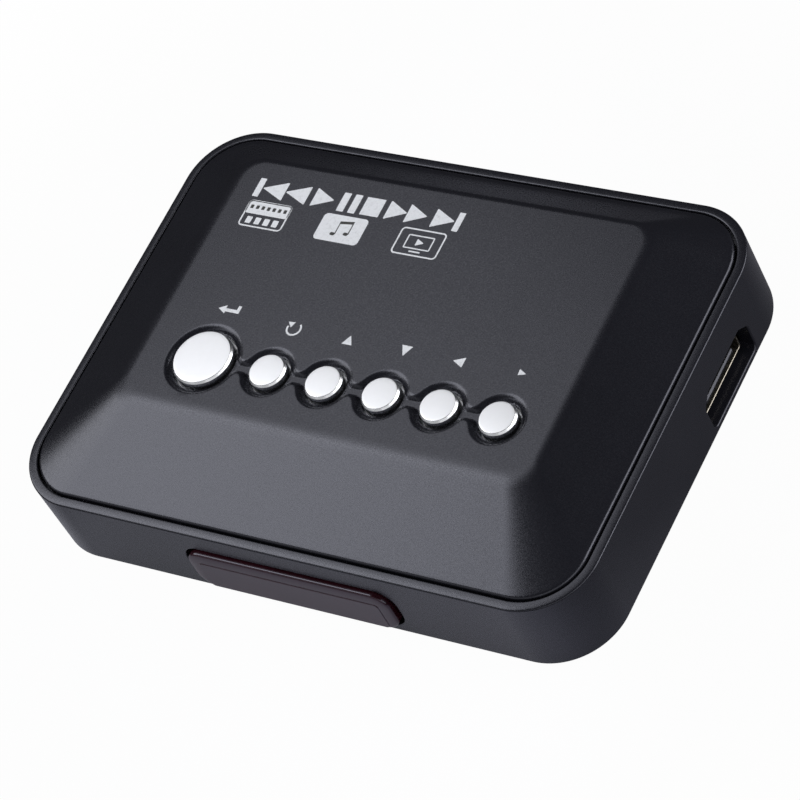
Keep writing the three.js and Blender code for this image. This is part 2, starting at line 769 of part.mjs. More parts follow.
// Infrared sensor: a moulded block with a round lens towards the window.
const behindFlange = -innerY + seatGap + windowFlangeThickness + behindWindow;
const sensorX = windowLength * sensorShare;
const lampX = windowLength * lampShare;
function infraredSensor() {
  const y = behindFlange + sensorDepth / 2;
  const body = pad(sensorX, y, sensorWidth, sensorDepth, onBoard, onBoard + sensorHeight);
  const lens = new THREE.SphereGeometry(sensorLensRadius, smallSides, smallSides / 2)
    .translate(sensorX, behindFlange + sensorLensRadius / 2, onBoard + sensorHeight / 2);
  return join(body, lens);
}

// Status lamp: a round resin body with a domed top, leaning on its flange.
function statusLamp() {
  const flange = lampRadius + seatGap;
  const crown = onBoard + lampHeight;
  const lip = onBoard + lampRadius / 2;
  return turned(lampX, behindFlange + flange, [[0, onBoard], [flange, onBoard], [flange, lip],
    [lampRadius, lip], [lampRadius, crown - lampRadius],
    [lampRadius * Math.SQRT1_2, crown - lampRadius * (1 - Math.SQRT1_2)], [0, crown]], smallSides);
}

// Link between the boards: a header with upright pins below, a slotted socket above.
const pinSpacing = linkLength / linkPins;
function linkHeader() {
  const pins = [];
  for (let i = 0; i < linkPins; i += 1) {
    const x = linkX + (i - (linkPins - 1) / 2) * pinSpacing;
    pins.push(pad(x, linkY, pinSide, pinSide, onBoard + headerHeight / 2, onBoard + headerHeight + pinRise));
  }
  return join(pad(linkX, linkY, linkLength, headerDepth, onBoard, onBoard + headerHeight), ...pins);
}

function linkSocket() {
  const top = keyBoardBottom - seatGap;
  const shell = pad(linkX, linkY, linkLength + socketSlot, socketDepth, top - socketHeight, top);
  return cut(solid(shell),
    pad(linkX, linkY, linkLength, socketSlot, top - socketHeight - overrun, top - socketHeight / 4));
}

// Case
piece('lower_shell', lowerShell(), blackPlastic);
piece('top_cover', topCover(), blackPlastic);
piece('ir_window', infraredWindow(), smokedPlastic);
casePosts.forEach(([x, y], i) => {
  const top = base + footRecess - seatGap;
  piece(`foot_${i + 1}`, drum(x, y, footRadius, 0, top, roundSides), rubber);
  piece(`case_screw_${i + 1}`, screwUp(x, y, caseScrewSeat() - seatGap, caseScrewLength), steel);
});

// Keys, their switches and the board that carries them
keys.forEach((key) => {
  piece(`${key.name}_key`, keyCap(key), silver);
  piece(`${key.name}_plunger`, switchPlunger(key), chipBlack);
  piece(`${key.name}_switch`, switchBody(key), steel);
});
piece('key_board', keyBoard(), boardGreen);
keyPosts.forEach(([x, y], i) => {
  piece(`key_board_screw_${i + 1}`, screwUp(x, y, keyBoardBottom - seatGap, keyScrewLength), steel);
});

// Main board and what it carries
piece('main_board', mainBoard(), boardGreen);
boardPosts.forEach(([x, y], i) => {
  piece(`main_board_screw_${i + 1}`, screwDown(x, y, onBoard, boardScrewLength), steel);
});
piece('processor', pad(processor.x, processor.y, processorWidth, processorWidth, onBoard,
  onBoard + processorHeight), chipBlack);
piece('heat_sink', heatSink(), aluminium);
memoryShares.map(onBoardAt).forEach(({ x, y }, i) => {
  piece(`memory_chip_${i + 1}`, pad(x, y, memoryWidth, memoryDepth, onBoard, onBoard + chipHeight),
    chipBlack);
});
piece('flash_chip', pad(flash.x, flash.y, flashWidth, flashDepth, onBoard, onBoard + chipHeight), chipBlack);
capacitorShares.forEach((share, i) => {
  piece(`capacitor_${i + 1}`, drum(boardX * share, boardRearY - capacitorRear, capacitorRadius, onBoard,
    onBoard + capacitorHeight, roundSides), aluminium);
});
piece('power_coil', powerCoil(), ferrite);
piece('crystal', crystalCan(), tin);
piece('ir_sensor', infraredSensor(), chipBlack);
piece('status_lamp', statusLamp(), clearResin);
piece('link_header', linkHeader(), whiteNylon);
piece('link_socket', linkSocket(), whiteNylon);

// Sockets
piece('video_socket_shell', videoShell(), tin);
piece('video_socket_tongue', videoTongue(), chipBlack);
piece('data_socket_shell', dataShell(), tin);
piece('data_socket_tongue', dataTongue(), whiteNylon);
piece('card_socket', cardSocket(), tin);
piece('power_jack', rearSocket(powerX, powerBodyWidth, powerBodyHeight, powerBodyDepth,
  powerBarrelRadius, powerBoreRadius), chipBlack);
piece('power_jack_pin', powerPin(), tin);
piece('sound_jack', rearSocket(soundX, soundBodyWidth, soundBodyHeight, soundBodyDepth,
  soundBarrelRadius, soundBoreRadius), chipBlack);

export default player;
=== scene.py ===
"""Looks of a small screenless media player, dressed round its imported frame.

Sizes are in millimetres about the middle of the case and become metres when a mesh is made. Lamps, the
camera and the textures' scales are in metres.
"""
import logging
import math
from dataclasses import dataclass
from enum import Enum

import bpy
import numpy as np
from mathutils import Matrix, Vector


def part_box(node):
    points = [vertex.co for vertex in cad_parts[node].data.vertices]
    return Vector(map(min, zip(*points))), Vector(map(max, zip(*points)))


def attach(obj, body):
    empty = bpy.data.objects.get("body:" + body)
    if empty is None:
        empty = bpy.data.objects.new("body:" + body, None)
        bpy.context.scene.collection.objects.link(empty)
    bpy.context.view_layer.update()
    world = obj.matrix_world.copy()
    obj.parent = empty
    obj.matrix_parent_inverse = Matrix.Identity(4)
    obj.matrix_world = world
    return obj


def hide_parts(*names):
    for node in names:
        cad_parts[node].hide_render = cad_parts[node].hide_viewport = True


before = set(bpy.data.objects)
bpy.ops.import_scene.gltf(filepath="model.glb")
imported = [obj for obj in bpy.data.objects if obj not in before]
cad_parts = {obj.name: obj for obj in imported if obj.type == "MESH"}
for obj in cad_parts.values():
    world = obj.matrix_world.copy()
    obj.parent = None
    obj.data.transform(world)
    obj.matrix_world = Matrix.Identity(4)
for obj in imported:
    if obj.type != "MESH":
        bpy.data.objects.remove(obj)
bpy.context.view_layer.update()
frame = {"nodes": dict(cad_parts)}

LOG = logging.getLogger("media_player")
MM = 0.001
SHARP_ANGLE = math.radians(32)
SHEET_LEAF = 0.18
MOUTH_STEPS = 5


class Side(Enum):
    """Walls of the case, as the directions of across, up and out in the row frame."""

    FRONT = ((1, 0, 0), (0, 0, 1), (0, -1, 0))
    RIGHT = ((0, 1, 0), (0, 0, 1), (1, 0, 0))
    LEFT = ((0, -1, 0), (0, 0, 1), (-1, 0, 0))
    REAR = ((-1, 0, 0), (0, 0, 1), (0, 1, 0))


class Joining(Enum):
    """How one solid is put together with another."""

    ADD = "UNION"
    CUT = "DIFFERENCE"


# Shapes


@dataclass
class Shape:
    """Points in millimetres, and faces as rows of point numbers."""

    points: np.ndarray
    faces: list

    def __add__(self, other: "Shape") -> "Shape":
        """Both shapes as one mesh, not welded."""
        moved = [tuple(i + len(self.points) for i in face) for face in other.faces]
        return Shape(np.vstack([self.points, other.points]), self.faces + moved)

    def facing(self, side: Side) -> "Shape":
        """The shape, drawn as across, up and out, turned onto a wall of the case."""
        return Shape(self.points @ np.array(side.value, float), self.faces)

    def moved(self, x: float = 0, y: float = 0, z: float = 0) -> "Shape":
        """The shape shifted by x, y and z."""
        return Shape(self.points + np.array([x, y, z], float), self.faces)


@dataclass(frozen=True)
class Outline:
    """Closed flat curve, counter-clockwise: points and outward directions."""

    points: np.ndarray
    outward: np.ndarray

    def ring(self, grow: float, height: float) -> np.ndarray:
        """The curve pushed outwards by grow, laid at one height."""
        flat = self.points + self.outward * grow
        return np.column_stack([flat, np.full(len(flat), height)])


def quads_between(rings: int, count: int, closed: bool = False) -> np.ndarray:
    """Faces that join each ring of points to the next.

    Args:
        rings: number of rings.
        count: points in a ring.
        closed: whether the last ring also joins the first.
    Returns:
        Rows of four point numbers: ring r, point i gives (r, i), (r, i+1), (r+1, i+1), (r+1, i).
    """
    row = np.arange(rings if closed else rings - 1)[:, None]
    here = np.arange(count)[None, :]
    after, above = (here + 1) % count, (row + 1) % rings
    corners = [row * count + here, row * count + after, above * count + after, above * count + here]
    return np.stack(corners, -1).reshape(-1, 4)


def skin(rings: list, closed: bool = False) -> Shape:
    """Closed solid through rings of points: outwards going up, inwards going down.

    Args:
        rings: arrays of the same number of points, in order along the section.
        closed: True for a band whose section runs round to its start, else the ends are capped.
    Returns:
        The solid's shape.
    """
    stack = np.array(rings, float)
    count = stack.shape[1]
    faces = [tuple(q) for q in quads_between(len(stack), count, closed).tolist()]
    if not closed:
        last = (len(stack) - 1) * count
        faces += [tuple(range(count))[::-1], tuple(range(last, last + count))]
    return Shape(stack.reshape(-1, 3), faces)


def rounded_outline(corners: list, radii: float | list, steps: int = 8) -> Outline:
    """Polygon with each corner turned into an arc.

    The arc of radius r at a corner that turns by a starts r tan(a/2) before the corner, and its point
    at share t lies r from the centre, in the direction of the first side's normal turned by t a.
    Args:
        corners: [across, up] places, counter-clockwise.
        radii: one radius, or one for each corner.
        steps: facets in an arc.
    Returns:
        The outline, steps + 1 points for each corner.
    """
    at = np.array(corners, float)
    radius = np.broadcast_to(np.array(radii, float), len(at))[:, None]
    before = at - np.roll(at, 1, 0)
    before /= np.linalg.norm(before, axis=1, keepdims=True)
    after = np.roll(before, -1, 0)
    cross = before[:, 0] * after[:, 1] - before[:, 1] * after[:, 0]
    turn = np.arctan2(cross, (before * after).sum(1))[:, None]
    normal = np.column_stack([before[:, 1], -before[:, 0]])
    bend = radius * np.sign(turn)
    centre = at - before * radius * np.tan(np.abs(turn) / 2) - normal * bend
    angle = np.arctan2(normal[:, 1], normal[:, 0])[:, None] + turn * np.linspace(0, 1, steps + 1)[None, :]
    outward = np.stack([np.cos(angle), np.sin(angle)], -1)
    points = centre[:, None, :] + outward * bend[:, :, None]
    return Outline(points.reshape(-1, 2), outward.reshape(-1, 2))


def rectangle(x0: float, x1: float, y0: float, y1: float, corner: float, steps: int = 8) -> Outline:
    """Rounded rectangle between two corners."""
    return rounded_outline([[x0, y0], [x1, y0], [x1, y1], [x0, y1]], corner, steps)


def circle(x: float, y: float, radius: float, sides: int) -> Outline:
    """Circle about (x, y): point i at angle 2 pi i / sides.

    Args:
        x, y: its centre.
        radius: its radius.
        sides: number of points.
    Returns:
        The circle.
    """
    angle = np.arange(sides) * 2 * math.pi / sides
    outward = np.column_stack([np.cos(angle), np.sin(angle)])
    return Outline(np.array([x, y]) + outward * radius, outward)


def raised(outline: Outline, section: list, closed: bool = False) -> Shape:
    """Outline carried along a section of [grow, height] places."""
    return skin([outline.ring(grow, height) for grow, height in section], closed)


def plate(outline: Outline, low: float, high: float, soft: float = 0, steps: int = 3) -> Shape:
    """Outline raised to a plate whose upper edge is an arc of radius soft."""
    return raised(outline, [[0, low]] + quarter(0, high, soft, steps) if soft else [[0, low], [0, high]])


def quarter_turn(steps: int) -> np.ndarray:
    """Angles from 0 to 90 degrees in equal steps."""
    return np.linspace(0, math.pi / 2, steps + 1)


def quarter(grow: float, top: float, radius: float, steps: int = 4) -> list:
    """Outer edge rounded over from a wall to a flat: [grow - r (1 - cos a), top - r (1 - sin a)]."""
    turn = quarter_turn(steps)
    return np.column_stack([grow - radius * (1 - np.cos(turn)), top - radius * (1 - np.sin(turn))]).tolist()


def turned(x: float, y: float, profile: list, sides: int) -> Shape:
    """Solid of revolution about an upright axis, from [radius, height] places."""
    return raised(circle(x, y, 0, sides), profile)


def block(x0: float, x1: float, y0: float, y1: float, z0: float, z1: float, soft: float) -> Shape:
    """Brick with softened upright and upper edges."""
    return plate(rectangle(x0, x1, y0, y1, soft, 2), z0, z1, soft, 2)


def flared(outline: Outline, face: float, depth: float, flare: float) -> Shape:
    """Cutting tool that leaves a rounded mouth in a wall.

    Its side at share t of the flare has grown by r (1 - cos a) at height face - r (1 - sin a),
    a = t 90 degrees, so the mouth's edge is an arc of radius r from the bore out to the face.
    Args:
        outline: the opening.
        face: height of the wall's outer face.
        depth: how deep the tool goes.
        flare: radius of the mouth's edge.
    Returns:
        The tool.
    """
    turn = quarter_turn(MOUTH_STEPS)
    edge = np.column_stack([flare * (1 - np.cos(turn)), face - flare * (1 - np.sin(turn))]).tolist()
    return raised(outline, [[0, face - depth]] + edge + [[flare, face + 1]])


def drawn(points: list) -> Outline:
    """Outline through given points, counter-clockwise, for a plate with upright sides."""
    at = np.array(points, float)
    return Outline(at, np.zeros_like(at))


def together(shapes: list) -> Shape:
    """Several shapes as one mesh, not welded."""
    return sum(shapes[1:], shapes[0])


def band(outline: Outline, width: float, low: float, high: float) -> Shape:
    """Frame of one width inside an outline, from low to high."""
    return raised(outline, [[0, low], [0, high], [-width, high], [-width, low]], closed=True)


def cup(outline: Outline, back: float, mouth: float, sheet: float) -> Shape:
    """Open box of bent sheet.

    The section runs up the outside, over a lip that is half a circle as thick as the sheet, and down
    the inside to the floor: lip point at angle a is [-s/2 (1 - cos a), mouth - s/2 (1 - sin a)].
    Args:
        outline: outer outline of the box.
        back: where its back stands.
        mouth: where its lip ends.
        sheet: thickness of the sheet.
    Returns:
        The box.
    """
    turn = np.linspace(0, math.pi, 7)
    lip = np.column_stack([-sheet / 2 * (1 - np.cos(turn)), mouth - sheet / 2 * (1 - np.sin(turn))])
    return raised(outline, [[-0.1, back], [0, back + 0.1], *lip.tolist(), [-sheet, back + sheet]])


def leaf(across: float, up: float, width: float, start: float, end: float, sag: float,
         sheet: float = SHEET_LEAF) -> Shape:
    """Spring leaf: a strip that bows by sag sin^2(pi s) between its ends, s running along it.

    Args:
        across, up: middle of its root.
        width: its width.
        start, end: its ends along the way out.
        sag: how far it bows upwards, or downwards below zero.
        sheet: thickness of the strip.
    Returns:
        The leaf.
    """
    share = np.linspace(0, 1, 13)
    bow = up + sag * np.sin(math.pi * share) ** 2
    side = np.array([-0.5, 0.5, 0.5, -0.5]) * width + across
    lift = np.array([-0.5, -0.5, 0.5, 0.5]) * sheet
    rings = [np.column_stack([side, lift + b, np.full(4, out)])
             for b, out in zip(bow, start + (end - start) * share)]
    return skin(rings)


# Making pieces


def smooth(piece: bpy.types.Object, angle: float) -> None:
    """Shades a piece smooth except over edges sharper than an angle, with large faces kept flat.

    Args:
        piece: the piece.
        angle: the angle, in radians.
    """
    piece.data.shade_smooth()
    piece.data.set_sharp_from_angle(angle=angle)
    weighted = piece.modifiers.new("flat_faces", "WEIGHTED_NORMAL")
    weighted.keep_sharp = True


def bare_object(name: str, shape: Shape) -> bpy.types.Object:
    """Object of a shape, its points shifted from the case's middle to the row frame, in metres.

    Args:
        name: the object's name.
        shape: its shape.
    Returns:
        The object, at the origin.
    """
    mesh = bpy.data.meshes.new(name)
    mesh.from_pydata(((shape.points + CASE_MIDDLE) * MM).tolist(), [], shape.faces)
    mesh.validate()
    piece = bpy.data.objects.new(name, mesh)
    bpy.context.scene.collection.objects.link(piece)
    return piece


def worked(piece: bpy.types.Object, tool: Shape, joining: Joining) -> None:
    """Adds a tool's solid to a piece, or cuts it away.

    Args:
        piece: the piece, whose mesh is changed.
        tool: the solid.
        joining: which of the two is done.
    """
    cutter = bare_object("tool", tool)
    step = piece.modifiers.new("work", "BOOLEAN")
    step.operation = joining.value
    step.solver = "EXACT"
    step.object = cutter
    graph = bpy.context.evaluated_depsgraph_get()
    made = bpy.data.meshes.new_from_object(piece.evaluated_get(graph))
    piece.modifiers.clear()
    piece.data = made
    bpy.data.objects.remove(cutter)


def finished(piece: bpy.types.Object, finish: "Finish", body: str, replaced: tuple = (),
             angle: float = SHARP_ANGLE) -> bpy.types.Object:
    """Dresses a piece, sets it on its body and hides the CAD nodes it stands for.

    Args:
        piece: the piece.
        finish: its finish.
        body: the CAD body it rides on.
        replaced: CAD nodes it stands for.
        angle: sharpest angle that is shaded smooth, in radians.
    Returns:
        The piece.
    """
    piece.data.materials.clear()
    piece.data.materials.append(finish.material())
    smooth(piece, angle)
    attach(piece, body)
    if replaced:
        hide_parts(*replaced)
    LOG.info("%s: %d faces, rides on %s", piece.name, len(piece.data.polygons), body)
    return piece


def cad_box(node: str) -> tuple:
    """Lowest and highest corner of a CAD node in millimetres, about the case's middle."""
    low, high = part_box(node)
    return np.array(low) / MM - CASE_MIDDLE, np.array(high) / MM - CASE_MIDDLE


def cad_middle(node: str) -> np.ndarray:
    """Middle of a CAD node's box in millimetres, about the case's middle."""
    low, high = cad_box(node)
    return (low + high) / 2


SHELL_LOW, SHELL_HIGH = (np.array(corner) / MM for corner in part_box("lower_shell"))
CASE_MIDDLE = np.array([(SHELL_LOW[0] + SHELL_HIGH[0]) / 2, (SHELL_LOW[1] + SHELL_HIGH[1]) / 2, 0])


# Finishes


class Recipe:
    """Node tree of one material while it is put together."""

    def __init__(self, name: str) -> None:
        """Starts with a Principled BSDF wired to the output.

        Args:
            name: the material's name.
        """
        self.made = bpy.data.materials.new(name)
        self.made.use_nodes = True
        self.tree = self.made.node_tree
        self.shader = self.tree.nodes["Principled BSDF"]
        self.place = self.tree.nodes.new("ShaderNodeTexCoord").outputs["Object"]

    def node(self, kind: str, inputs: dict | None = None, **settings) -> bpy.types.Node:
        """Adds a node.

        Args:
            kind: Blender's name of the node, without its ShaderNode prefix.
            inputs: socket name or number to a value, or to the output that feeds it.
            settings: the node's own properties.
        Returns:
            The node.
        """
        made = self.tree.nodes.new("ShaderNode" + kind)
        for key, value in settings.items():
            setattr(made, key, value)
        for key, value in (inputs or {}).items():
            self.feed(made.inputs[key], value)
        return made

    def feed(self, socket: bpy.types.NodeSocket, value: object) -> None:
        """Links an output into a socket, or sets the socket's own value.

        Args:
            socket: the socket.
            value: the output, or the value.
        """
        if isinstance(value, bpy.types.NodeSocket):
            self.tree.links.new(value, socket)
        else:
            socket.default_value = value

    def shade(self, **sockets: object) -> None:
        """Sets or links sockets of the shader, with spaces for underscores."""
        for key, value in sockets.items():
            self.feed(self.shader.inputs[key.replace("_", " ")], value)

    def maths(self, operation: str, first: object, second: object) -> bpy.types.NodeSocket:
        """Two values put together by an operation of the Math node."""
        return self.node("Math", {0: first, 1: second}, operation=operation).outputs[0]

    def noise(self, scale: float, detail: float, roughness: float,
              stretch: tuple | None = None) -> bpy.types.NodeSocket:
        """Noise on Object coordinates.

        Args:
            scale: waves in a metre.
            detail: how many finer noises are added.
            roughness: how strong each of them is.
            stretch: scale along each axis, where it isn't the same.
        Returns:
            The noise, about 0.3 to 0.7.
        """
        place = self.place
        if stretch:
            place = self.node("Mapping", {"Vector": place, "Scale": stretch}).outputs[0]
        return self.node("TexNoise", {"Vector": place, "Scale": scale, "Detail": detail,
                                      "Roughness": roughness}).outputs[0]

    def spread(self, value: bpy.types.NodeSocket, low: float, high: float,
               start: float = 0.3, end: float = 0.7) -> bpy.types.NodeSocket:
        """Value from start..end mapped to low..high."""
        return self.node("MapRange", {"Value": value, 1: start, 2: end, 3: low, 4: high}).outputs[0]

    def blend(self, share: bpy.types.NodeSocket, first: object, second: object) -> bpy.types.NodeSocket:
        """Colour between two, by share."""
        return self.node("Mix", {0: share, 6: first, 7: second}, data_type="RGBA").outputs[2]

    def shades(self, share: bpy.types.NodeSocket, colour: tuple, low: float = 1,
               high: float = 1) -> bpy.types.NodeSocket:
        """A colour times low to high, by share."""
        return self.blend(share, rgb(*(c * low for c in colour)), rgb(*(c * high for c in colour)))

    def bump(self, height: bpy.types.NodeSocket, depth: float, strength: float = 1) -> bpy.types.NodeSocket:
        """Normal raised by a height, depth in millimetres."""
        return self.node("Bump", {"Height": height, "Distance": depth * MM, "Strength": strength}).outputs[0]


def rgb(red: float, green: float, blue: float) -> tuple:
    """Opaque linear colour."""
    return (red, green, blue, 1.0)


MIXED: dict = {}


@dataclass(frozen=True)
class Finish:
    """A finish: the record's slot it belongs to, and what its material is called."""

    name: str
    slot: str

    def material(self) -> bpy.types.Material:
        """Gives the finish's material, made the first time that it is asked for.

        Returns:
            The material.
        """
        if self.name not in MIXED:
            recipe = Recipe(self.name)
            self.mix(recipe)
            MIXED[self.name] = recipe.made
        return MIXED[self.name]

    def mix(self, recipe: Recipe) -> None:
        """Puts the material's nodes together."""
        raise NotImplementedError


@dataclass(frozen=True)
class MouldedPlastic(Finish):
    """Moulded plastic: fine spark-eroded grain, slow changes of gloss and a trace of handling."""

    colour: tuple = (0.0088, 0.0090, 0.0125)
    roughness: float = 0.28
    grain: float = 3400
    grain_depth: float = 0.004
    specular: float = 0.52
    drift: float = 0.05
    finer: float = 2.1
    cast: tuple = (0.84, 0.86, 1.0)

    def mix(self, recipe: Recipe) -> None:
        """Colour drifts with a slow noise; two fine noises make the grain and its sparkle.

        Args:
            recipe: the material's node tree.
        """
        slow = recipe.noise(60, 3, 0.6)
        fine, speck = (recipe.noise(scale, 2, 0.6) for scale in (self.grain, self.grain * self.finer))
        recipe.shade(Base_Color=recipe.shades(recipe.spread(slow, 0, 1), self.colour, 0.9, 1.12),
                     Roughness=recipe.spread(fine, self.roughness - self.drift, self.roughness + self.drift),
                     Normal=recipe.bump(recipe.maths("ADD", fine, speck), self.grain_depth),
                     Specular_IOR_Level=self.specular, Specular_Tint=rgb(*self.cast))


@dataclass(frozen=True)
class SmokedAcrylic(Finish):
    """Polished dark acrylic that lets only a trace of red through."""

    colour: tuple = (0.020, 0.004, 0.007)

    def mix(self, recipe: Recipe) -> None:
        """Even dark colour under a clear polished surface with faint flow waves.

        Args:
            recipe: the material's node tree.
        """
        waves = recipe.noise(220, 2, 0.5)
        scuff = recipe.noise(2600, 5, 0.7)
        recipe.shade(Base_Color=recipe.shades(recipe.spread(waves, 0, 1), self.colour, high=1.3),
                     Roughness=recipe.spread(scuff, 0.12, 0.18), Normal=recipe.bump(waves, 0.012),
                     Specular_IOR_Level=0.62, Specular_Tint=rgb(0.80, 0.83, 1.0))


@dataclass(frozen=True)
class SilverPlating(Finish):
    """Silver plating on a moulded cap: satin on the face, polished on the bevel and the side."""

    colour: tuple = (0.755, 0.765, 0.80)
    satin: float = 0.45
    polished: float = 0.27

    def mix(self, recipe: Recipe) -> None:
        """The surface's upward tilt picks satin or polished; fine noise gives the satin its sparkle.

        Args:
            recipe: the material's node tree.
        """
        upward = recipe.node("SeparateXYZ", {0: recipe.node("NewGeometry").outputs["Normal"]}).outputs[2]
        face = recipe.spread(upward, 0, 1, 0.9, 0.99)
        grain = recipe.noise(7000, 3, 0.7)
        cloud = recipe.noise(500, 4, 0.6)
        gloss = recipe.maths("MULTIPLY", recipe.spread(cloud, -0.03, 0.04), face)
        rough = recipe.spread(face, self.polished, self.satin, 0, 1)
        recipe.shade(Base_Color=recipe.shades(recipe.spread(cloud, 0, 1), self.colour, 0.96),
                     Metallic=1.0, Roughness=recipe.maths("ADD", rough, gloss),
                     Normal=recipe.bump(recipe.maths("MULTIPLY", grain, face), 0.006, 0.8))


@dataclass(frozen=True)
class SheetMetal(Finish):
    """Rolled or turned metal: a fine lay of scratches along one axis, and a little tarnish."""

    colour: tuple
    roughness: float
    lay: tuple
    tarnish: float = 0.8

    def mix(self, recipe: Recipe) -> None:
        """Noise stretched along the lay sets roughness and scratches; slow noise dulls the colour.

        Args:
            recipe: the material's node tree.
        """
        scratch = recipe.noise(2600, 4, 0.7, self.lay)
        cloud = recipe.noise(260, 4, 0.6)
        recipe.shade(Base_Color=recipe.shades(recipe.spread(cloud, 0, 1), self.colour, self.tarnish),
                     Metallic=1.0,
                     Roughness=recipe.spread(scratch, self.roughness * 0.75, self.roughness * 1.35),
                     Normal=recipe.bump(scratch, 0.003, 0.7))


@dataclass(frozen=True)
class Rubber(Finish):
    """Matt moulded rubber with a pitted skin and dust in the low spots."""

    def mix(self, recipe: Recipe) -> None:
        """Pits from a cell pattern, dust from a middle noise.

        Args:
            recipe: the material's node tree.
        """
        pits = recipe.node("TexVoronoi", {"Vector": recipe.place, "Scale": 2400}).outputs[0]
        dust = recipe.noise(900, 5, 0.7)
        recipe.shade(Base_Color=recipe.blend(recipe.spread(dust, 0, 1, 0.5, 0.8), rgb(0.018, 0.018, 0.018),
                                             rgb(0.07, 0.07, 0.068)),
                     Roughness=recipe.spread(dust, 0.78, 0.95), Normal=recipe.bump(pits, 0.02, 0.7),
                     Specular_IOR_Level=0.3)


@dataclass(frozen=True)
class BoardLacquer(Finish):
    """Green lacquer over copper tracks, with plated dots."""

    def mix(self, recipe: Recipe) -> None:
        """Tracks are the bricks of a fine brick pattern, dots the middles of a cell pattern.

        Args:
            recipe: the material's node tree.
        """
        tracks = recipe.node("TexBrick", {"Vector": recipe.place, "Scale": 420, "Mortar Size": 0.02,
                                          "Color1": rgb(0.012, 0.11, 0.05), "Color2": rgb(0.016, 0.15, 0.07),
                                          "Mortar": rgb(0.008, 0.06, 0.03)}, offset_frequency=3, squash=0.4)
        cells = recipe.node("TexVoronoi", {"Vector": recipe.place, "Scale": 330, "Randomness": 1.0})
        dots = recipe.spread(cells.outputs[0], 1, 0, 0.10, 0.14)
        haze = recipe.noise(900, 3, 0.6)
        recipe.shade(Base_Color=recipe.blend(dots, tracks.outputs[0], rgb(0.55, 0.52, 0.42)),
                     Metallic=dots, Roughness=recipe.spread(haze, 0.22, 0.36),
                     Normal=recipe.bump(tracks.outputs[1], 0.02, 0.6), Coat_Weight=0.4, Coat_Roughness=0.12)


@dataclass(frozen=True)
class ClearResin(Finish):
    """Cast clear resin with a faint blue and fine flow lines."""

    def mix(self, recipe: Recipe) -> None:
        """Mostly clear; slow noise bends the surface.

        Args:
            recipe: the material's node tree.
        """
        flow = recipe.noise(420, 3, 0.5)
        recipe.shade(Base_Color=recipe.blend(recipe.spread(flow, 0, 1), rgb(0.72, 0.84, 0.95),
                                             rgb(0.86, 0.92, 0.98)),
                     Roughness=recipe.spread(flow, 0.05, 0.12), Transmission_Weight=0.8, IOR=1.5,
                     Normal=recipe.bump(flow, 0.01))


@dataclass(frozen=True)
class PrintInk(Finish):
    """Pad-printed ink: a thin film with a slightly broken edge and the plastic's grain under it."""

    colour: tuple = (0.72, 0.74, 0.79)
    roughness: float = 0.5

    def mix(self, recipe: Recipe) -> None:
        """Fine noise thins the ink here and there.

        Args:
            recipe: the material's node tree.
        """
        grain = recipe.noise(5200, 3, 0.7)
        thin = recipe.noise(1500, 5, 0.75)
        recipe.shade(Base_Color=recipe.shades(recipe.spread(thin, 1, 0, 0.25, 0.5), self.colour, high=0.72),
                     Roughness=recipe.spread(thin, self.roughness - 0.06, self.roughness + 0.08),
                     Normal=recipe.bump(grain, 0.005))


CASE_PLASTIC = MouldedPlastic("case_plastic", "case_plastic")
CHIP_RESIN = MouldedPlastic("chip_resin", "chip", (0.024, 0.025, 0.027), 0.5, 3200, 0.01)
SOCKET_PLASTIC = MouldedPlastic("socket_plastic", "chip", (0.016, 0.016, 0.017), 0.36, 4200, 0.004)
WHITE_NYLON = MouldedPlastic("white_nylon", "nylon", (0.70, 0.68, 0.61), 0.42, 3000, 0.005)
FERRITE_BODY = MouldedPlastic("ferrite_body", "ferrite", (0.055, 0.055, 0.06), 0.7, 2400, 0.02)
WINDOW_ACRYLIC = SmokedAcrylic("window_acrylic", "smoked_window")
KEY_PLATING = SilverPlating("key_plating", "key_silver")
FOOT_RUBBER = Rubber("foot_rubber", "foot_rubber")
BOARD_LACQUER = BoardLacquer("board_lacquer", "circuit_board")
LAMP_RESIN = ClearResin("lamp_resin", "lamp_resin")
TIN_SHEET = SheetMetal("tin_sheet", "tin", (0.60, 0.60, 0.61), 0.24, (0.15, 1, 1))
NICKEL_SHEET = SheetMetal("nickel_sheet", "tin", (0.36, 0.33, 0.28), 0.34, (0.15, 1, 1))
GOLD_CONTACT = SheetMetal("gold_contact", "tin", (0.83, 0.61, 0.27), 0.2, (0.2, 1, 1))
ZINC_SCREW = SheetMetal("zinc_screw", "screw_steel", (0.42, 0.42, 0.43), 0.32, (1, 1, 0.1))
SWITCH_COVER = SheetMetal("switch_cover", "switch_steel", (0.50, 0.51, 0.53), 0.3, (0.1, 1, 1))
SINK_ALUMINIUM = SheetMetal("sink_aluminium", "heat_sink", (0.50, 0.51, 0.53), 0.4, (1, 0.08, 1))
CAN_ALUMINIUM = SheetMetal("can_aluminium", "capacitor_can", (0.60, 0.61, 0.63), 0.3, (1, 1, 0.1))
WHITE_INK = PrintInk("white_ink", "case_plastic")
BLACK_INK = PrintInk("black_ink", "case_plastic", (0.02, 0.02, 0.021), 0.42)

# Finish of each CAD node that stays, by the start of its name
CARRIED_OVER = {
    "case_screw": ZINC_SCREW, "key_board_screw": ZINC_SCREW, "main_board_screw": ZINC_SCREW,
    "key_board": BOARD_LACQUER, "main_board": BOARD_LACQUER, "processor": CHIP_RESIN,
    "heat_sink": SINK_ALUMINIUM, "memory_chip": CHIP_RESIN, "flash_chip": CHIP_RESIN,
    "capacitor": CAN_ALUMINIUM, "power_coil": FERRITE_BODY, "crystal": TIN_SHEET, "ir_sensor": CHIP_RESIN,
    "status_lamp": LAMP_RESIN, "link_header": WHITE_NYLON, "link_socket": WHITE_NYLON,
}


# The case


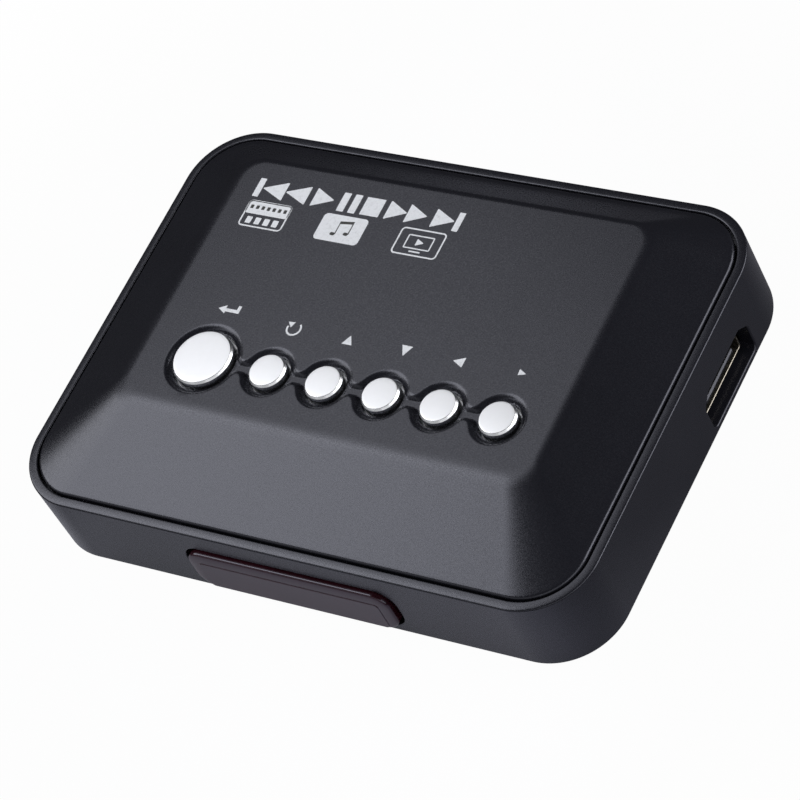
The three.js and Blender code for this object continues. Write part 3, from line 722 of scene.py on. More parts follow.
@dataclass
class Shell:
    """Lower shell: a tray with a rebated rim, its edges rounded and its openings softened."""

    corner: float = 12
    wall: float = 2.75
    rim_wall: float = 1.7
    bottom_round: float = 0.3
    bottom_drop: float = 0.3
    outer_round: float = 0.35
    slant: tuple = (9, 1)
    inner_round: float = 0.25
    ledge_drop: float = 2.8
    floor: float = 1.5
    floor_round: float = 0.6
    corner_steps: int = 28
    gap: float = 0.3
    foot_radius: float = 4.5
    foot_recess: float = 0.7
    post_radius: float = 4.0
    post_bore: float = 1.4
    head_bore: float = 2.5
    head_height: float = 1.5
    chamfer: float = 0.2
    overrun: float = 1
    bore_sides: int = 48

    def __post_init__(self) -> None:
        """Reads the case's outer sizes from the frame."""
        low, high = cad_box("lower_shell")
        self.half_x, self.half_y, self.base, self.top = high[0], high[1], low[2], high[2]

    def feet(self) -> list:
        """Middles of the four feet, where the case screws stand too."""
        return [cad_middle(f"foot_{n}") for n in range(1, 5)]

    def ring(self, inset: float, height: float) -> np.ndarray:
        """Case outline drawn in by inset, its corners shrinking with it, at one height."""
        x, y = self.half_x - inset, self.half_y - inset
        return rectangle(-x, x, -y, y, self.corner - inset, self.corner_steps).ring(0, height)

    def section(self) -> list:
        """Section of the tray as [inset, height], from the underside, over the rim, to the floor.

        The rim's top tilts outwards by steep degrees at its outer edge and by gentle ones at its inner edge:
        its height at share u of its width w is w (u tan steep - u u (tan steep - tan gentle) / 2). Every
        rounded edge is a quarter of a circle, [r (1 - sin a), r (1 - cos a)] from its corner.
        Returns:
            The places, in order.
        """
        turn = quarter_turn(7)
        lower = np.column_stack([self.bottom_round * (1 - np.sin(turn)),
                                 self.base - self.bottom_drop + self.bottom_round * (1 - np.cos(turn))])
        steep, gentle = (math.radians(v) for v in self.slant)
        sweep = np.linspace(0, math.pi / 2 - steep, 8)
        start = self.outer_round * (1 - math.sin(steep))
        width = self.rim_wall - self.inner_round - start
        share = np.linspace(0, 1, 7)
        fall = math.tan(steep) * share - (math.tan(steep) - math.tan(gentle)) * share ** 2 / 2
        crest = self.top + width * fall[-1] / 2
        outer = np.column_stack([self.outer_round * (1 - np.cos(sweep)), crest - width * fall[-1]
                                 - self.outer_round * (math.cos(steep) - np.sin(sweep))])
        ramp = np.column_stack([start + width * share, crest - width * (fall[-1] - fall)])[1:]
        inner = np.column_stack([self.rim_wall - self.inner_round * (1 - np.sin(turn)),
                                 crest - self.inner_round * (1 - np.cos(turn))])[1:]
        ledge = self.top - self.ledge_drop
        ground = self.base + self.floor
        foot = np.column_stack([self.wall + self.floor_round * (1 - np.cos(turn)),
                                ground + self.floor_round * (1 - np.sin(turn))])
        steps = [[self.rim_wall, ledge], [self.wall - self.chamfer, ledge], [self.wall, ledge - self.chamfer]]
        return [*lower.tolist(), *outer.tolist(), *ramp.tolist(), *inner.tolist(), *steps, *foot.tolist()]

    def build(self, openings: list) -> bpy.types.Object:
        """Makes the tray, adds its screw posts and cuts every opening.

        Args:
            openings: tools for the openings in the walls.
        Returns:
            The tray.
        """
        tray = bare_object("shell_body", skin([self.ring(i, z) for i, z in self.section()]))
        ledge, low = self.top - self.ledge_drop, self.base - self.bottom_drop
        seat = cad_box("case_screw_1")[0][2] + self.head_height + self.gap
        recess, depth = self.foot_radius + self.gap, self.base + self.foot_recess
        post = [[self.post_radius, self.base + self.floor / 2], [self.post_radius, ledge]]
        mouth, end = recess + self.chamfer, ledge + self.overrun
        bore = [[mouth, self.base - self.overrun], [mouth, low], [recess, low + self.chamfer],
                [recess, depth], [self.head_bore, depth], [self.head_bore, seat], [self.post_bore, seat],
                [self.post_bore, end]]
        posts, bores = ([turned(x, y, profile, self.bore_sides) for x, y, _ in self.feet()]
                        for profile in (post, bore))
        worked(tray, together(posts), Joining.ADD)
        worked(tray, together([*openings, *bores]), Joining.CUT)
        return finished(tray, CASE_PLASTIC, "case", ("lower_shell",))


@dataclass(frozen=True)
class KeyPlace:
    """Where one key stands: its name, its centre and its radius."""

    name: str
    x: float
    y: float
    radius: float


@dataclass
class Cover:
    """Top cover: a flat top with a dished key track, and slopes that run down to the rim."""

    keys: list
    corner: float = 10
    edge_round: float = 0.6
    front_slope: float = 16.95
    side_slope: float = 11.85
    rear_slope: float = 6.8
    top_corner: float = 4.2
    rise: float = 5.25
    blend: float = 0.1
    wall: float = 1.6
    thickness: float = 2
    track_depth: float = 0.85
    track_margin: float = 1.5
    neck: float = 2.0
    fillet: float = 1.3
    lip: float = 0.25
    ring_run: float = 1.2
    neck_run: float = 0.5
    hole_gap: float = 0.35
    hole_round: float = 0.12
    case_post: float = 2.9
    key_post: float = 2.4
    post_foot: float = 13.75
    key_post_foot: float = 14.2
    key_post_y: float = -3.55
    fine_x: float = 0.2
    fine_y: float = 0.17
    coarse_y: float = 1.2
    grid_margins: tuple = (1.9, 1.2, 1.0)
    edge_start: float = math.radians(24)
    fine_margin: float = 0.4
    chamfer: float = 0.15
    seam: float = 0.02
    case_bore: float = 0.95
    key_bore: float = 0.7
    bore_over: float = 0.3
    post_head: float = 0.6
    post_chamfer: float = 0.1

    def __post_init__(self) -> None:
        """Reads the cover's outer sizes from the frame."""
        low, high = cad_box("top_cover")
        self.half_x, self.half_y, self.skirt, self.top = high[0], high[1], low[2], high[2]
        self.rim = self.top - self.rise

    def side_path(self, x0: float, x1: float, y0: float, y1: float, corner: float,
                  side: np.ndarray, share: np.ndarray) -> np.ndarray:
        """Points on a rounded rectangle, each side running from mid corner to mid corner.

        A point at share s of a side of length L, with corners of radius c, lies s (L - 2c + c pi/2)
        along half an arc, the straight and half an arc.
        Args:
            x0, x1, y0, y1: the rectangle.
            corner: its corner radius, above zero.
            side: 0 front, 1 right, 2 rear, 3 left, for each point.
            share: place along the side, for each point.
        Returns:
            Rows of [x, y].
        """
        width, depth = x1 - x0 - 2 * corner, y1 - y0 - 2 * corner
        straight = np.where(side % 2 == 0, width, depth)
        half_arc = corner * math.pi / 4
        run = share * (straight + 2 * half_arc)
        early = np.minimum(run - half_arc, 0) / corner
        late = np.maximum(run - half_arc - straight, 0) / corner
        angle = early + late
        along = np.clip(run - half_arc, 0, straight) - straight / 2 + corner * np.sin(angle)
        outward = np.where(side % 2 == 0, depth, width) / 2 + corner * np.cos(angle)
        turn = side * math.pi / 2
        middle = np.array([(x0 + x1) / 2, (y0 + y1) / 2])
        return middle + np.column_stack([along * np.cos(turn) + outward * np.sin(turn),
                                         along * np.sin(turn) - outward * np.cos(turn)])

    def slope_box(self, share: float, inset: float) -> tuple:
        """Rounded rectangle of the skin at one level of the slopes.

        Args:
            share: 0 at the lower edge, 1 at the flat top's edge.
            inset: how far it is drawn in on every side.
        Returns:
            Its x0, x1, y0, y1 and corner radius.
        """
        return (-self.half_x + inset + self.side_slope * share, self.half_x - inset - self.side_slope * share,
                -self.half_y + inset + self.front_slope * share,
                self.half_y - inset - self.rear_slope * share,
                self.corner + (self.top_corner - self.corner) * share)

    def dish(self, x: np.ndarray, y: np.ndarray) -> np.ndarray:
        """Depth of the track at each point.

        The distance d outside the track is the smooth least of the distance r to the nearest key's
        circle and the distance n to the straight neck that joins them; the depth rises as 1 - cos(90 p)
        over the wall's run, with p = (lip - d) / run, so that a soft lip gets steeper towards the
        foot, and the run goes from the ring's to the neck's as n falls below r.
        Args:
            x, y: the points.
        Returns:
            The depths.
        """
        ring = np.min([np.hypot(x - k.x, y - k.y) - k.radius - self.track_margin for k in self.keys], axis=0)
        span = np.clip(x, self.keys[0].x, self.keys[-1].x)
        neck = np.hypot(x - span, y - self.keys[0].y) - self.neck / 2
        mix = np.clip(0.5 + 0.5 * (neck - ring) / self.fillet, 0, 1)
        near = neck + (ring - neck) * mix - self.fillet * mix * (1 - mix)
        run = self.neck_run + (self.ring_run - self.neck_run) * mix
        p = np.clip((self.lip - near) / run, 0, 1)
        return self.track_depth * (1 - np.cos(p * math.pi / 2))

    def skin_shape(self) -> Shape:
        """Grid of the flat top, rings down the slopes and skirt, and rings up the inside to the ceiling.

        The grid is the height top - dish(x, y). Its border and each ring have the same number of points,
        in the same order, and quads join each to the next.
        Returns:
            The skin, closed.
        """
        x0, x1, y0, y1, _ = self.slope_box(1 + self.blend, self.edge_round)
        sides, front, rear = self.grid_margins
        x0, x1, y0, y1 = x0 + sides, x1 - sides, y0 + front, y1 - rear
        fine_end = self.keys[0].y + self.keys[0].radius + self.track_margin + self.lip + self.fine_margin
        xs = np.linspace(x0, x1, round((x1 - x0) / self.fine_x) + 1)
        ys = np.concatenate([np.linspace(y0, fine_end, round((fine_end - y0) / self.fine_y) + 1)[:-1],
                             np.linspace(fine_end, y1, round((y1 - fine_end) / self.coarse_y) + 1)])
        gx, gy = np.meshgrid(xs, ys)
        grid = np.stack([gx, gy, self.top - self.dish(gx, gy)], -1).reshape(-1, 3)
        nx, ny = len(xs), len(ys)
        number = np.arange(nx * ny).reshape(ny, nx)
        cells = np.stack([number[:-1, :-1], number[:-1, 1:], number[1:, 1:], number[1:, :-1]], -1)
        border = np.concatenate([number[0, :-1], number[:-1, -1], number[-1, :0:-1], number[:0:-1, 0]])
        side = np.repeat([0, 1, 2, 3], [nx - 1, ny - 1, nx - 1, ny - 1])
        fx, fy = (xs - x0) / (x1 - x0), (ys - y0) / (y1 - y0)
        share = np.concatenate([fx[:-1], fy[:-1], 1 - fx[:0:-1], 1 - fy[:0:-1]])
        rings = [np.column_stack([self.side_path(*box, side, share), np.full(len(side), z)])
                 for box, z in self.levels()]
        count, first = len(side), len(grid)
        stack = np.concatenate(rings)
        after = np.roll(np.arange(count), -1)
        join = np.stack([border, first + np.arange(count), first + after, border[after]], -1)
        walls = quads_between(len(rings), count)[:, ::-1] + first
        faces = [tuple(f) for f in np.concatenate([cells.reshape(-1, 4), join, walls]).tolist()]
        last = first + (len(rings) - 1) * count
        faces.append(tuple(range(last, last + count))[::-1])
        return Shape(np.vstack([grid, stack]), faces)

    def levels(self) -> list:
        """Boxes and heights of the rings, from the flat top out and down, then in and up to the ceiling.

        Over the blend, the height at share s is top - rise (1 + b - s)^2 / 4b; below it, the slope is
        straight, and its lower edge is an arc of radius e: inset e (1 - sin a), rim - e (1 - cos a).
        Returns:
            Rows of (rounded rectangle, height).
        """
        b, edge = self.blend, self.edge_round
        rows = [(self.slope_box(1 + b + self.seam, edge), self.top)]
        for s in np.linspace(1 + b, 1 - b, 13):
            rows.append((self.slope_box(s, edge), self.top - self.rise * (1 + b - s) ** 2 / (4 * b)))
        for s in np.linspace(1 - b, self.seam, 9)[1:]:
            rows.append((self.slope_box(s, edge), self.top - self.rise * (1 - s)))
        for turn in np.linspace(self.edge_start, math.pi / 2, 7):
            inset = edge * (1 - math.sin(turn))
            rows.append((self.slope_box(0, inset), self.rim - edge * (1 - math.cos(turn))))
        rows.append((self.slope_box(0, 0), self.skirt + self.chamfer))
        rows.append((self.slope_box(0, self.chamfer), self.skirt))
        inner = self.corner - self.wall
        rows.append(((-self.half_x + self.wall, self.half_x - self.wall, -self.half_y + self.wall,
                      self.half_y - self.wall, inner), self.skirt))
        rows.append((self.slope_box(0, self.wall + edge), self.rim - self.thickness))
        rows.append((self.slope_box(1, self.wall + edge), self.top - self.thickness))
        return rows

    def height(self, x: np.ndarray, y: np.ndarray) -> np.ndarray:
        """Height of the slopes: rim + rise times the least share of a slope's run, at most 1.

        Where both sides are nearer than the corner's radius R, at distances a and b, the share is also
        at most that of the rounded corner, (R - hypot(R - a, R - b)) / longest run.
        Args:
            x, y: the points.
        Returns:
            The heights.
        """
        rear = y > 0
        a = self.half_x - self.edge_round - np.abs(x)
        b = self.half_y - self.edge_round - np.abs(y)
        run = np.where(rear, self.rear_slope, self.front_slope)
        c, d = np.maximum(self.corner - a, 0), np.maximum(self.corner - b, 0)
        rounded = np.where((c > 0) & (d > 0),
                           (self.corner - np.hypot(c, d)) / np.maximum(run, self.side_slope), 1)
        return self.rim + self.rise * np.min([a / self.side_slope, b / run, rounded, np.ones_like(x)], axis=0)

    def post(self, x: float, y: float, radius: float, foot: float) -> Shape:
        """Round post from its foot up into the middle of the cover's wall.

        Args:
            x, y: its centre.
            radius: its radius.
            foot: height of its foot.
        Returns:
            The post.
        """
        outline = circle(x, y, radius, 40)
        head = outline.ring(0, 0)
        head[:, 2] = self.height(head[:, 0], head[:, 1]) - self.thickness * self.post_head
        return skin([outline.ring(-self.post_chamfer, foot), outline.ring(0, foot + self.post_chamfer), head])

    def build(self, feet: list) -> bpy.types.Object:
        """Makes the skin, adds its posts and bores the key holes with rounded mouths.

        Args:
            feet: middles of the case posts.
        Returns:
            The cover.
        """
        cover = bare_object("cover_skin", self.skin_shape())
        ceiling, floor = self.top - self.thickness, self.top - self.track_depth
        places = [(x, y, self.case_post, self.post_foot) for x, y, _ in feet]
        places += [((one.x + other.x) / 2, self.key_post_y, self.key_post, self.key_post_foot)
                   for one, other in (self.keys[:2], self.keys[-2:])]
        worked(cover, together([self.post(*place) for place in places]), Joining.ADD)
        screws = [(cad_box(f"case_screw_{n}"), self.case_bore) for n in range(1, 5)]
        screws += [(cad_box(f"key_board_screw_{n}"), self.key_bore) for n in (1, 2)]
        cuts = []
        for (low, high), radius in screws:
            x, y, _ = (low + high) / 2
            cuts.append(turned(x, y, [[radius, low[2]], [radius, high[2] + self.bore_over]], 32))
        for key in self.keys:
            cuts.append(flared(circle(key.x, key.y, key.radius + self.hole_gap, 96), floor,
                               floor - ceiling + 1, self.hole_round))
        worked(cover, together(cuts), Joining.CUT)
        return finished(cover, CASE_PLASTIC, "case", ("top_cover",))


@dataclass
class Window:
    """Infrared window: a pane that stands proud of the front wall, with a shallow bevel round its face."""

    half: float = 19.8
    bottom: float = 2.3
    top: float = 11.4
    corner: float = 3.0
    bevel: float = 2.3
    top_bevel: float = 2.4
    bottom_bevel: float = 0.3
    side: float = 0.82
    edge: float = 0.42
    rise: float = 0.13
    proud: float = 1.07
    side_gap: float = 0.8
    top_gap: float = 0.45
    flange: float = 1.2
    flange_thickness: float = 0.9
    opening_round: float = 0.22
    opening_corner: float = 0.6
    opening_drop: float = 0.3
    corner_steps: int = 12
    edge_end: float = math.radians(76)
    bevel_end: float = 0.92
    face_shares: tuple = (0.975, 1.0, 1.04)
    sharp: float = math.radians(28)

    def outline(self, share: float) -> Outline:
        """Outline of the pane at one level of its bevel.

        Args:
            share: 0 at the pane's side, 1 at its face.
        Returns:
            The outline.
        """
        half = self.half - self.bevel * share
        low, high = self.bottom + self.bottom_bevel * share, self.top - self.top_bevel * share
        return rectangle(-half, half, low, high, self.corner - self.bevel * share, self.corner_steps)

    def opening(self, shell: Shell) -> Shape:
        """Tool for the opening in the wall, wider than the pane at the sides and above.

        Args:
            shell: the shell that has the wall.
        Returns:
            The tool.
        """
        half = self.half + self.side_gap
        hole = rectangle(-half, half, self.bottom - self.opening_drop, self.top + self.top_gap,
                         self.corner + self.opening_corner, self.corner_steps)
        return flared(hole, shell.half_y, shell.wall + 1, self.opening_round).facing(Side.FRONT)

    def build(self, shell: Shell) -> bpy.types.Object:
        """Makes the pane with its flange behind the wall.

        Its edge is an arc of radius e from the side towards the bevel: inset e (1 - cos a), out
        side - e (1 - sin a). From there, at share s, the bevel rises by rise (1 - (1 - s)^2), and a
        small step leads up to the face.
        Args:
            shell: the shell that it sits in.
        Returns:
            The pane.
        """
        wall = shell.half_y
        behind = wall - shell.wall - shell.gap
        flange = rectangle(-self.half - self.flange, self.half + self.flange,
                           shell.base + shell.floor + shell.gap, self.top + self.flange, self.corner,
                           self.corner_steps)
        rings = [flange.ring(0, behind - self.flange_thickness), flange.ring(0, behind),
                 self.outline(0).ring(0, behind), self.outline(0).ring(0, wall)]
        for turn in np.linspace(0, self.edge_end, 8):
            share = self.edge * (1 - math.cos(turn)) / self.bevel
            rings.append(self.outline(share).ring(0, wall + self.side - self.edge * (1 - math.sin(turn))))
        first, last = share, self.bevel_end
        for part in np.linspace(0, 1, 8)[1:]:
            out = wall + self.side + self.rise * (1 - (1 - part) ** 2)
            rings.append(self.outline(first + (last - first) * part).ring(0, out))
        for share in self.face_shares:
            rings.append(self.outline(share).ring(0, wall + self.proud))
        pane = bare_object("window_pane", skin(rings).facing(Side.FRONT))
        return finished(pane, WINDOW_ACRYLIC, "case", ("ir_window",), self.sharp)


# Sockets and feet


@dataclass
class Fitting:
    """Something set in a wall of the case; its shapes are drawn about its middle as across, up and out."""

    side: Side
    across: float
    up: float

    def fitted(self, shape: Shape) -> Shape:
        """A shape moved to its place in its wall."""
        return shape.moved(self.across, self.up).facing(self.side)

    def cut(self, outline: Outline, shell: Shell, flare: float, reach: float = 0.4) -> Shape:
        """Tool for an opening through the wall, with a rounded mouth.

        Args:
            outline: the opening.
            shell: the shell that has the wall.
            flare: radius of the mouth's edge.
            reach: how far the tool goes on behind the wall.
        Returns:
            The tool.
        """
        face = shell.half_y if self.side is Side.REAR else shell.half_x
        return self.fitted(flared(outline, face, shell.wall + reach, flare))

    def piece(self, name: str, shape: Shape, finish: Finish, replaced: tuple = ()) -> bpy.types.Object:
        """A shape made, dressed and set on the case."""
        return finished(bare_object(name, self.fitted(shape)), finish, "case", replaced)


@dataclass
class VideoSocket(Fitting):
    """Video socket: a drawn metal shell, a moulded blade with gilt contacts, and the cut-out round them."""

    side: Side = Side.RIGHT
    across: float = 15.6
    up: float = 2.65
    half: float = 7.5
    narrow_half: float = 6.0
    shoulder: float = 2.65
    narrow_from: float = 4.24
    height: float = 5.3
    mouth: float = 52.9
    back: float = 41.9
    sheet: float = 0.36
    blade_half: float = 5.6
    blade_up: float = 1.45
    blade_thickness: float = 0.9
    blade_tip: float = 52.8
    heel_gap: float = 0.75
    heel_end: float = 3.5
    count: int = 10
    pitch: float = 1.0
    strip: tuple = (0.22, 0.04)
    spring_across: float = 3.4
    spring_up: float = 0.42
    spring_sag: float = 0.28
    opening_low: float = 1.6
    opening_high: float = 8.95
    opening_ends: tuple = (-8.2, 8.5)
    opening_top: tuple = (-5.8, 6.2)
    opening_shoulder: float = 1.8

    def opening(self, shell: Shell) -> Shape:
        """Tool for the cut-out, which has two cut upper corners and is wider than the metal shell.

        Args:
            shell: the case's shell, which has the wall.
        Returns:
            The tool.
        """
        low, high = self.opening_low - self.up, self.opening_high - self.up
        (near, far), (left, right) = self.opening_ends, self.opening_top
        shoulder = high - self.opening_shoulder
        outline = rounded_outline([[near, low], [far, low], [far, shoulder], [right, high], [left, high],
                                   [near, shoulder]], [1.0, 1.0, 0.9, 0.7, 0.7, 0.9], 6)
        return self.cut(outline, shell, 0.36, 1.0)

    def outline(self) -> Outline:
        """Outline of the drawn shell: wide below, with shoulders that draw in to a narrower top.

        Returns:
            The outline.
        """
        right = [[self.half, 0], [self.half, self.shoulder], [self.narrow_half, self.narrow_from],
                 [self.narrow_half, self.height]]
        left = [[-across, up] for across, up in right[::-1]]
        return rounded_outline([left[-1], *right, *left[:-1]], [0.6, 0.6, 0.7, 0.5, 0.6, 0.6, 0.5, 0.7], 5)

    def build(self) -> None:
        """Makes the shell with its springs, the blade and the contacts."""
        shell = cup(self.outline(), self.back, self.mouth, self.sheet)
        springs = [leaf(x, up, 1.3, self.mouth - 6.5, self.mouth - 0.9, sag)
                   for up, sag in ((self.spring_up, self.spring_sag),
                                   (self.height - self.spring_up, -self.spring_sag))
                   for x in (-self.spring_across, self.spring_across)]
        self.piece("video_shell", together([shell, *springs]), NICKEL_SHEET, ("video_socket_shell",))
        low, high = self.blade_up - self.blade_thickness / 2, self.blade_up + self.blade_thickness / 2
        blade = plate(rectangle(-self.blade_half, self.blade_half, low, high, 0.2, 3), self.back + 0.8,
                      self.blade_tip, 0.3, 1)
        heel = plate(rectangle(-self.blade_half, self.blade_half, self.heel_gap, self.height - self.heel_gap,
                               0.3, 3), self.back + self.heel_gap, self.back + self.heel_end, 0.2)
        self.piece("video_blade", blade + heel, SOCKET_PLASTIC, ("video_socket_tongue",))
        across = (np.arange(self.count) - (self.count - 1) / 2) * self.pitch
        wide, thick = self.strip
        strips = [block(x - wide, x + wide, up - thick, up + thick, self.back + 3.6, self.blade_tip - 2.2,
                        0.03) for x in across for up in (low, high)]
        self.piece("video_contacts", together(strips), GOLD_CONTACT)


@dataclass
class DataSocket(Fitting):
    """Data socket in the left wall: a sheet shell with flared lips and springs, a blade and four contacts."""

    side: Side = Side.LEFT
    across: float = 14.01
    up: float = 5.6
    half: float = 6.6
    half_height: float = 2.9
    mouth: float = 51.95
    back: float = 38.95
    sheet: float = 0.45
    blade_half: float = 5.5
    blade_low: float = -0.1
    blade_high: float = 1.7
    blade_tip: float = 51.5
    opening_half: float = 7.4
    opening_low: float = 1.9
    opening_high: float = 9.3
    heel_half: tuple = (5.8, 2.1)
    lips: tuple = ((-0.1, 1.2), (0.02, 1.1), (0.5, 0.3), (0.55, 0.1), (0.3, 0.16), (-0.3, 0.4))
    contacts: tuple = ((-3.5, 50.6), (-1.0, 49.6), (1.0, 49.6), (3.5, 50.6))

    def opening(self, shell: Shell) -> Shape:
        """Rounded opening, wider than the shell."""
        low, high = self.opening_low - self.up, self.opening_high - self.up
        return self.cut(rectangle(-self.opening_half, self.opening_half, low, high, 0.8), shell, 0.3, 1.0)

    def build(self) -> None:
        """Makes the shell with its flared lips and springs, the blade and the contacts."""
        outline = rectangle(-self.half, self.half, -self.half_height, self.half_height, 0.65, 5)
        lips = raised(outline, [[grow, self.mouth - under] for grow, under in self.lips], closed=True)
        inner = self.half_height - self.sheet
        springs = [leaf(x, up, 2.0, self.mouth - 8, self.mouth - 1.4, -math.copysign(0.4, up))
                   for x in (-3.2, 3.2) for up in (-inner, inner)]
        shell = cup(outline, self.back, self.mouth, self.sheet)
        self.piece("data_shell", together([shell, lips, *springs]), TIN_SHEET, ("data_socket_shell",))
        blade = plate(rectangle(-self.blade_half, self.blade_half, self.blade_low, self.blade_high, 0.25, 3),
                      self.back + 0.75, self.blade_tip, 0.3)
        wide, tall = self.heel_half
        heel = plate(rectangle(-wide, wide, -tall, tall, 0.3, 3), self.back + 0.75, self.back + 3.2, 0.2)
        self.piece("data_blade", blade + heel, SOCKET_PLASTIC, ("data_socket_tongue",))
        strips = [block(x - 0.5, x + 0.5, self.blade_low - 0.08, self.blade_low + 0.05, self.back + 3.3, end,
                        0.04) for x, end in self.contacts]
        self.piece("data_contacts", together(strips), GOLD_CONTACT)


@dataclass
class CardSocket(Fitting):
    """Memory card slot in the left wall: a sheet cage over a moulded tray with its contacts."""

    side: Side = Side.LEFT
    across: float = -9.31
    up: float = 6.8
    half: float = 7.25
    half_height: float = 1.1
    mouth: float = 51.95
    back: float = 36.95
    sheet: float = 0.3
    slot_half: tuple = (6.9, 1.1)
    tray_half: float = 6.85
    tray_heights: tuple = (-0.8, -0.55)
    contact_heights: tuple = (-0.58, -0.46)

    def opening(self, shell: Shell) -> Shape:
        """Slot in the wall with a rounded mouth."""
        wide, tall = self.slot_half
        return self.cut(rectangle(-wide, wide, -tall, tall, 0.4, 5), shell, 0.45)

    def build(self) -> None:
        """Makes the cage with two springs in its roof, the tray and the contacts."""
        cage = cup(rectangle(-self.half, self.half, -self.half_height, self.half_height, 0.4, 4),
                   self.back, self.mouth, self.sheet)
        springs = [leaf(x, 0.75, 1.1, self.mouth - 9, self.mouth - 2, -0.25, 0.12) for x in (-4.2, 4.2)]
        self.piece("card_cage", together([cage, *springs]), TIN_SHEET, ("card_socket",))
        tray = plate(rectangle(-self.tray_half, self.tray_half, *self.tray_heights, 0.1, 2), self.back + 0.5,
                     self.mouth - 1.2, 0.08)
        self.piece("card_tray", tray, SOCKET_PLASTIC)
        strips = [block(x - 0.4, x + 0.4, *self.contact_heights, self.back + 2, self.mouth - 5, 0.04)
                  for x in np.linspace(-5, 5, 8)]
        self.piece("card_contacts", together(strips), GOLD_CONTACT)


@dataclass
class RoundJack(Fitting):
    """Round jack in the rear wall: a moulded body with a bored barrel and its metal parts."""

    name: str = "power"
    node: str = "power_jack"
    body_half: float = 4.5
    body_half_height: float = 3.8
    barrel: float = 3.7
    bore: float = 2.9
    bore_depth: float = 8.0
    hole: float = 4.0
    back: float = 25.95
    front: float = 36.95
    face: float = 39.4
    sides: int = 72
    rim: tuple = ((0, 1.6), (0.3, 1.6), (0.3, 0.25), (0.22, 0.18), (0.06, 0.18), (-0.02, 0.26))

    def opening(self, shell: Shell) -> Shape:
        """Round hole in the wall."""
        return self.cut(circle(0, 0, self.hole, self.sides), shell, 0.35)

    def build(self) -> None:
        """Joins body and barrel, bores them and adds a contact spring and a mouth ring."""
        wide, tall = self.body_half, self.body_half_height
        brick = plate(rectangle(-wide, wide, -tall, tall, 0.3, 3), self.back, self.front, 0.25)
        jack = bare_object(f"{self.name}_body", self.fitted(brick))
        side = [[self.barrel, self.front - 1], *quarter(self.barrel, self.face, 0.3)]
        worked(jack, self.fitted(turned(0, 0, side, self.sides)), Joining.ADD)
        bore = flared(circle(0, 0, self.bore, self.sides), self.face, self.bore_depth, 0.25)
        worked(jack, self.fitted(bore), Joining.CUT)
        finished(jack, SOCKET_PLASTIC, "case", (self.node,))
        ring = raised(circle(0, 0, self.bore + 0.02, self.sides),
                      [[grow, self.face - under] for grow, under in self.rim], closed=True)
        spring = leaf(0, self.bore - 0.1, self.bore * 0.45, self.face - self.bore_depth + 0.3,
                      self.face - 1.8, -self.bore * 0.16)
        self.piece(f"{self.name}_spring", ring + spring, TIN_SHEET)


@dataclass
class PowerPin(Fitting):
    """Middle pin of the power jack, with a rounded tip."""

    side: Side = Side.REAR
    across: float = 34.0
    up: float = 9.5
    radius: float = 0.88
    back: float = 31.7
    tip: float = 38.2

    def build(self) -> None:
        """Turns the pin."""
        profile = [[self.radius, self.back], *quarter(self.radius, self.tip, 0.6, 6)]
        self.piece("power_pin", turned(0, 0, profile, 40), TIN_SHEET, ("power_jack_pin",))


@dataclass
class Foot:
    """Moulded rubber foot with a rounded rim and a dished middle."""

    number: int
    radius: float = 4.5
    rim: float = 0.45
    dish: float = 0.25
    height: float = 1.2
    chamfer: float = 0.1
    sides: int = 56

    def build(self) -> None:
        """Turns the foot: out across the dish, round the rim and up to the recess."""
        x, y, _ = cad_middle(f"foot_{self.number}")
        turn = quarter_turn(5)
        rim = np.column_stack([self.radius - self.rim * (1 - np.sin(turn)), self.rim * (1 - np.cos(turn))])
        profile = [[1.0, self.dish], [2.4, self.dish], [2.8, 0.04], [3.0, 0], *rim.tolist(),
                   [self.radius, self.height - self.chamfer], [self.radius - self.chamfer, self.height]]
        foot = bare_object(f"rubber_foot_{self.number}", turned(x, y, profile, self.sides))
        finished(foot, FOOT_RUBBER, "case", (f"foot_{self.number}",))


# Keys and print


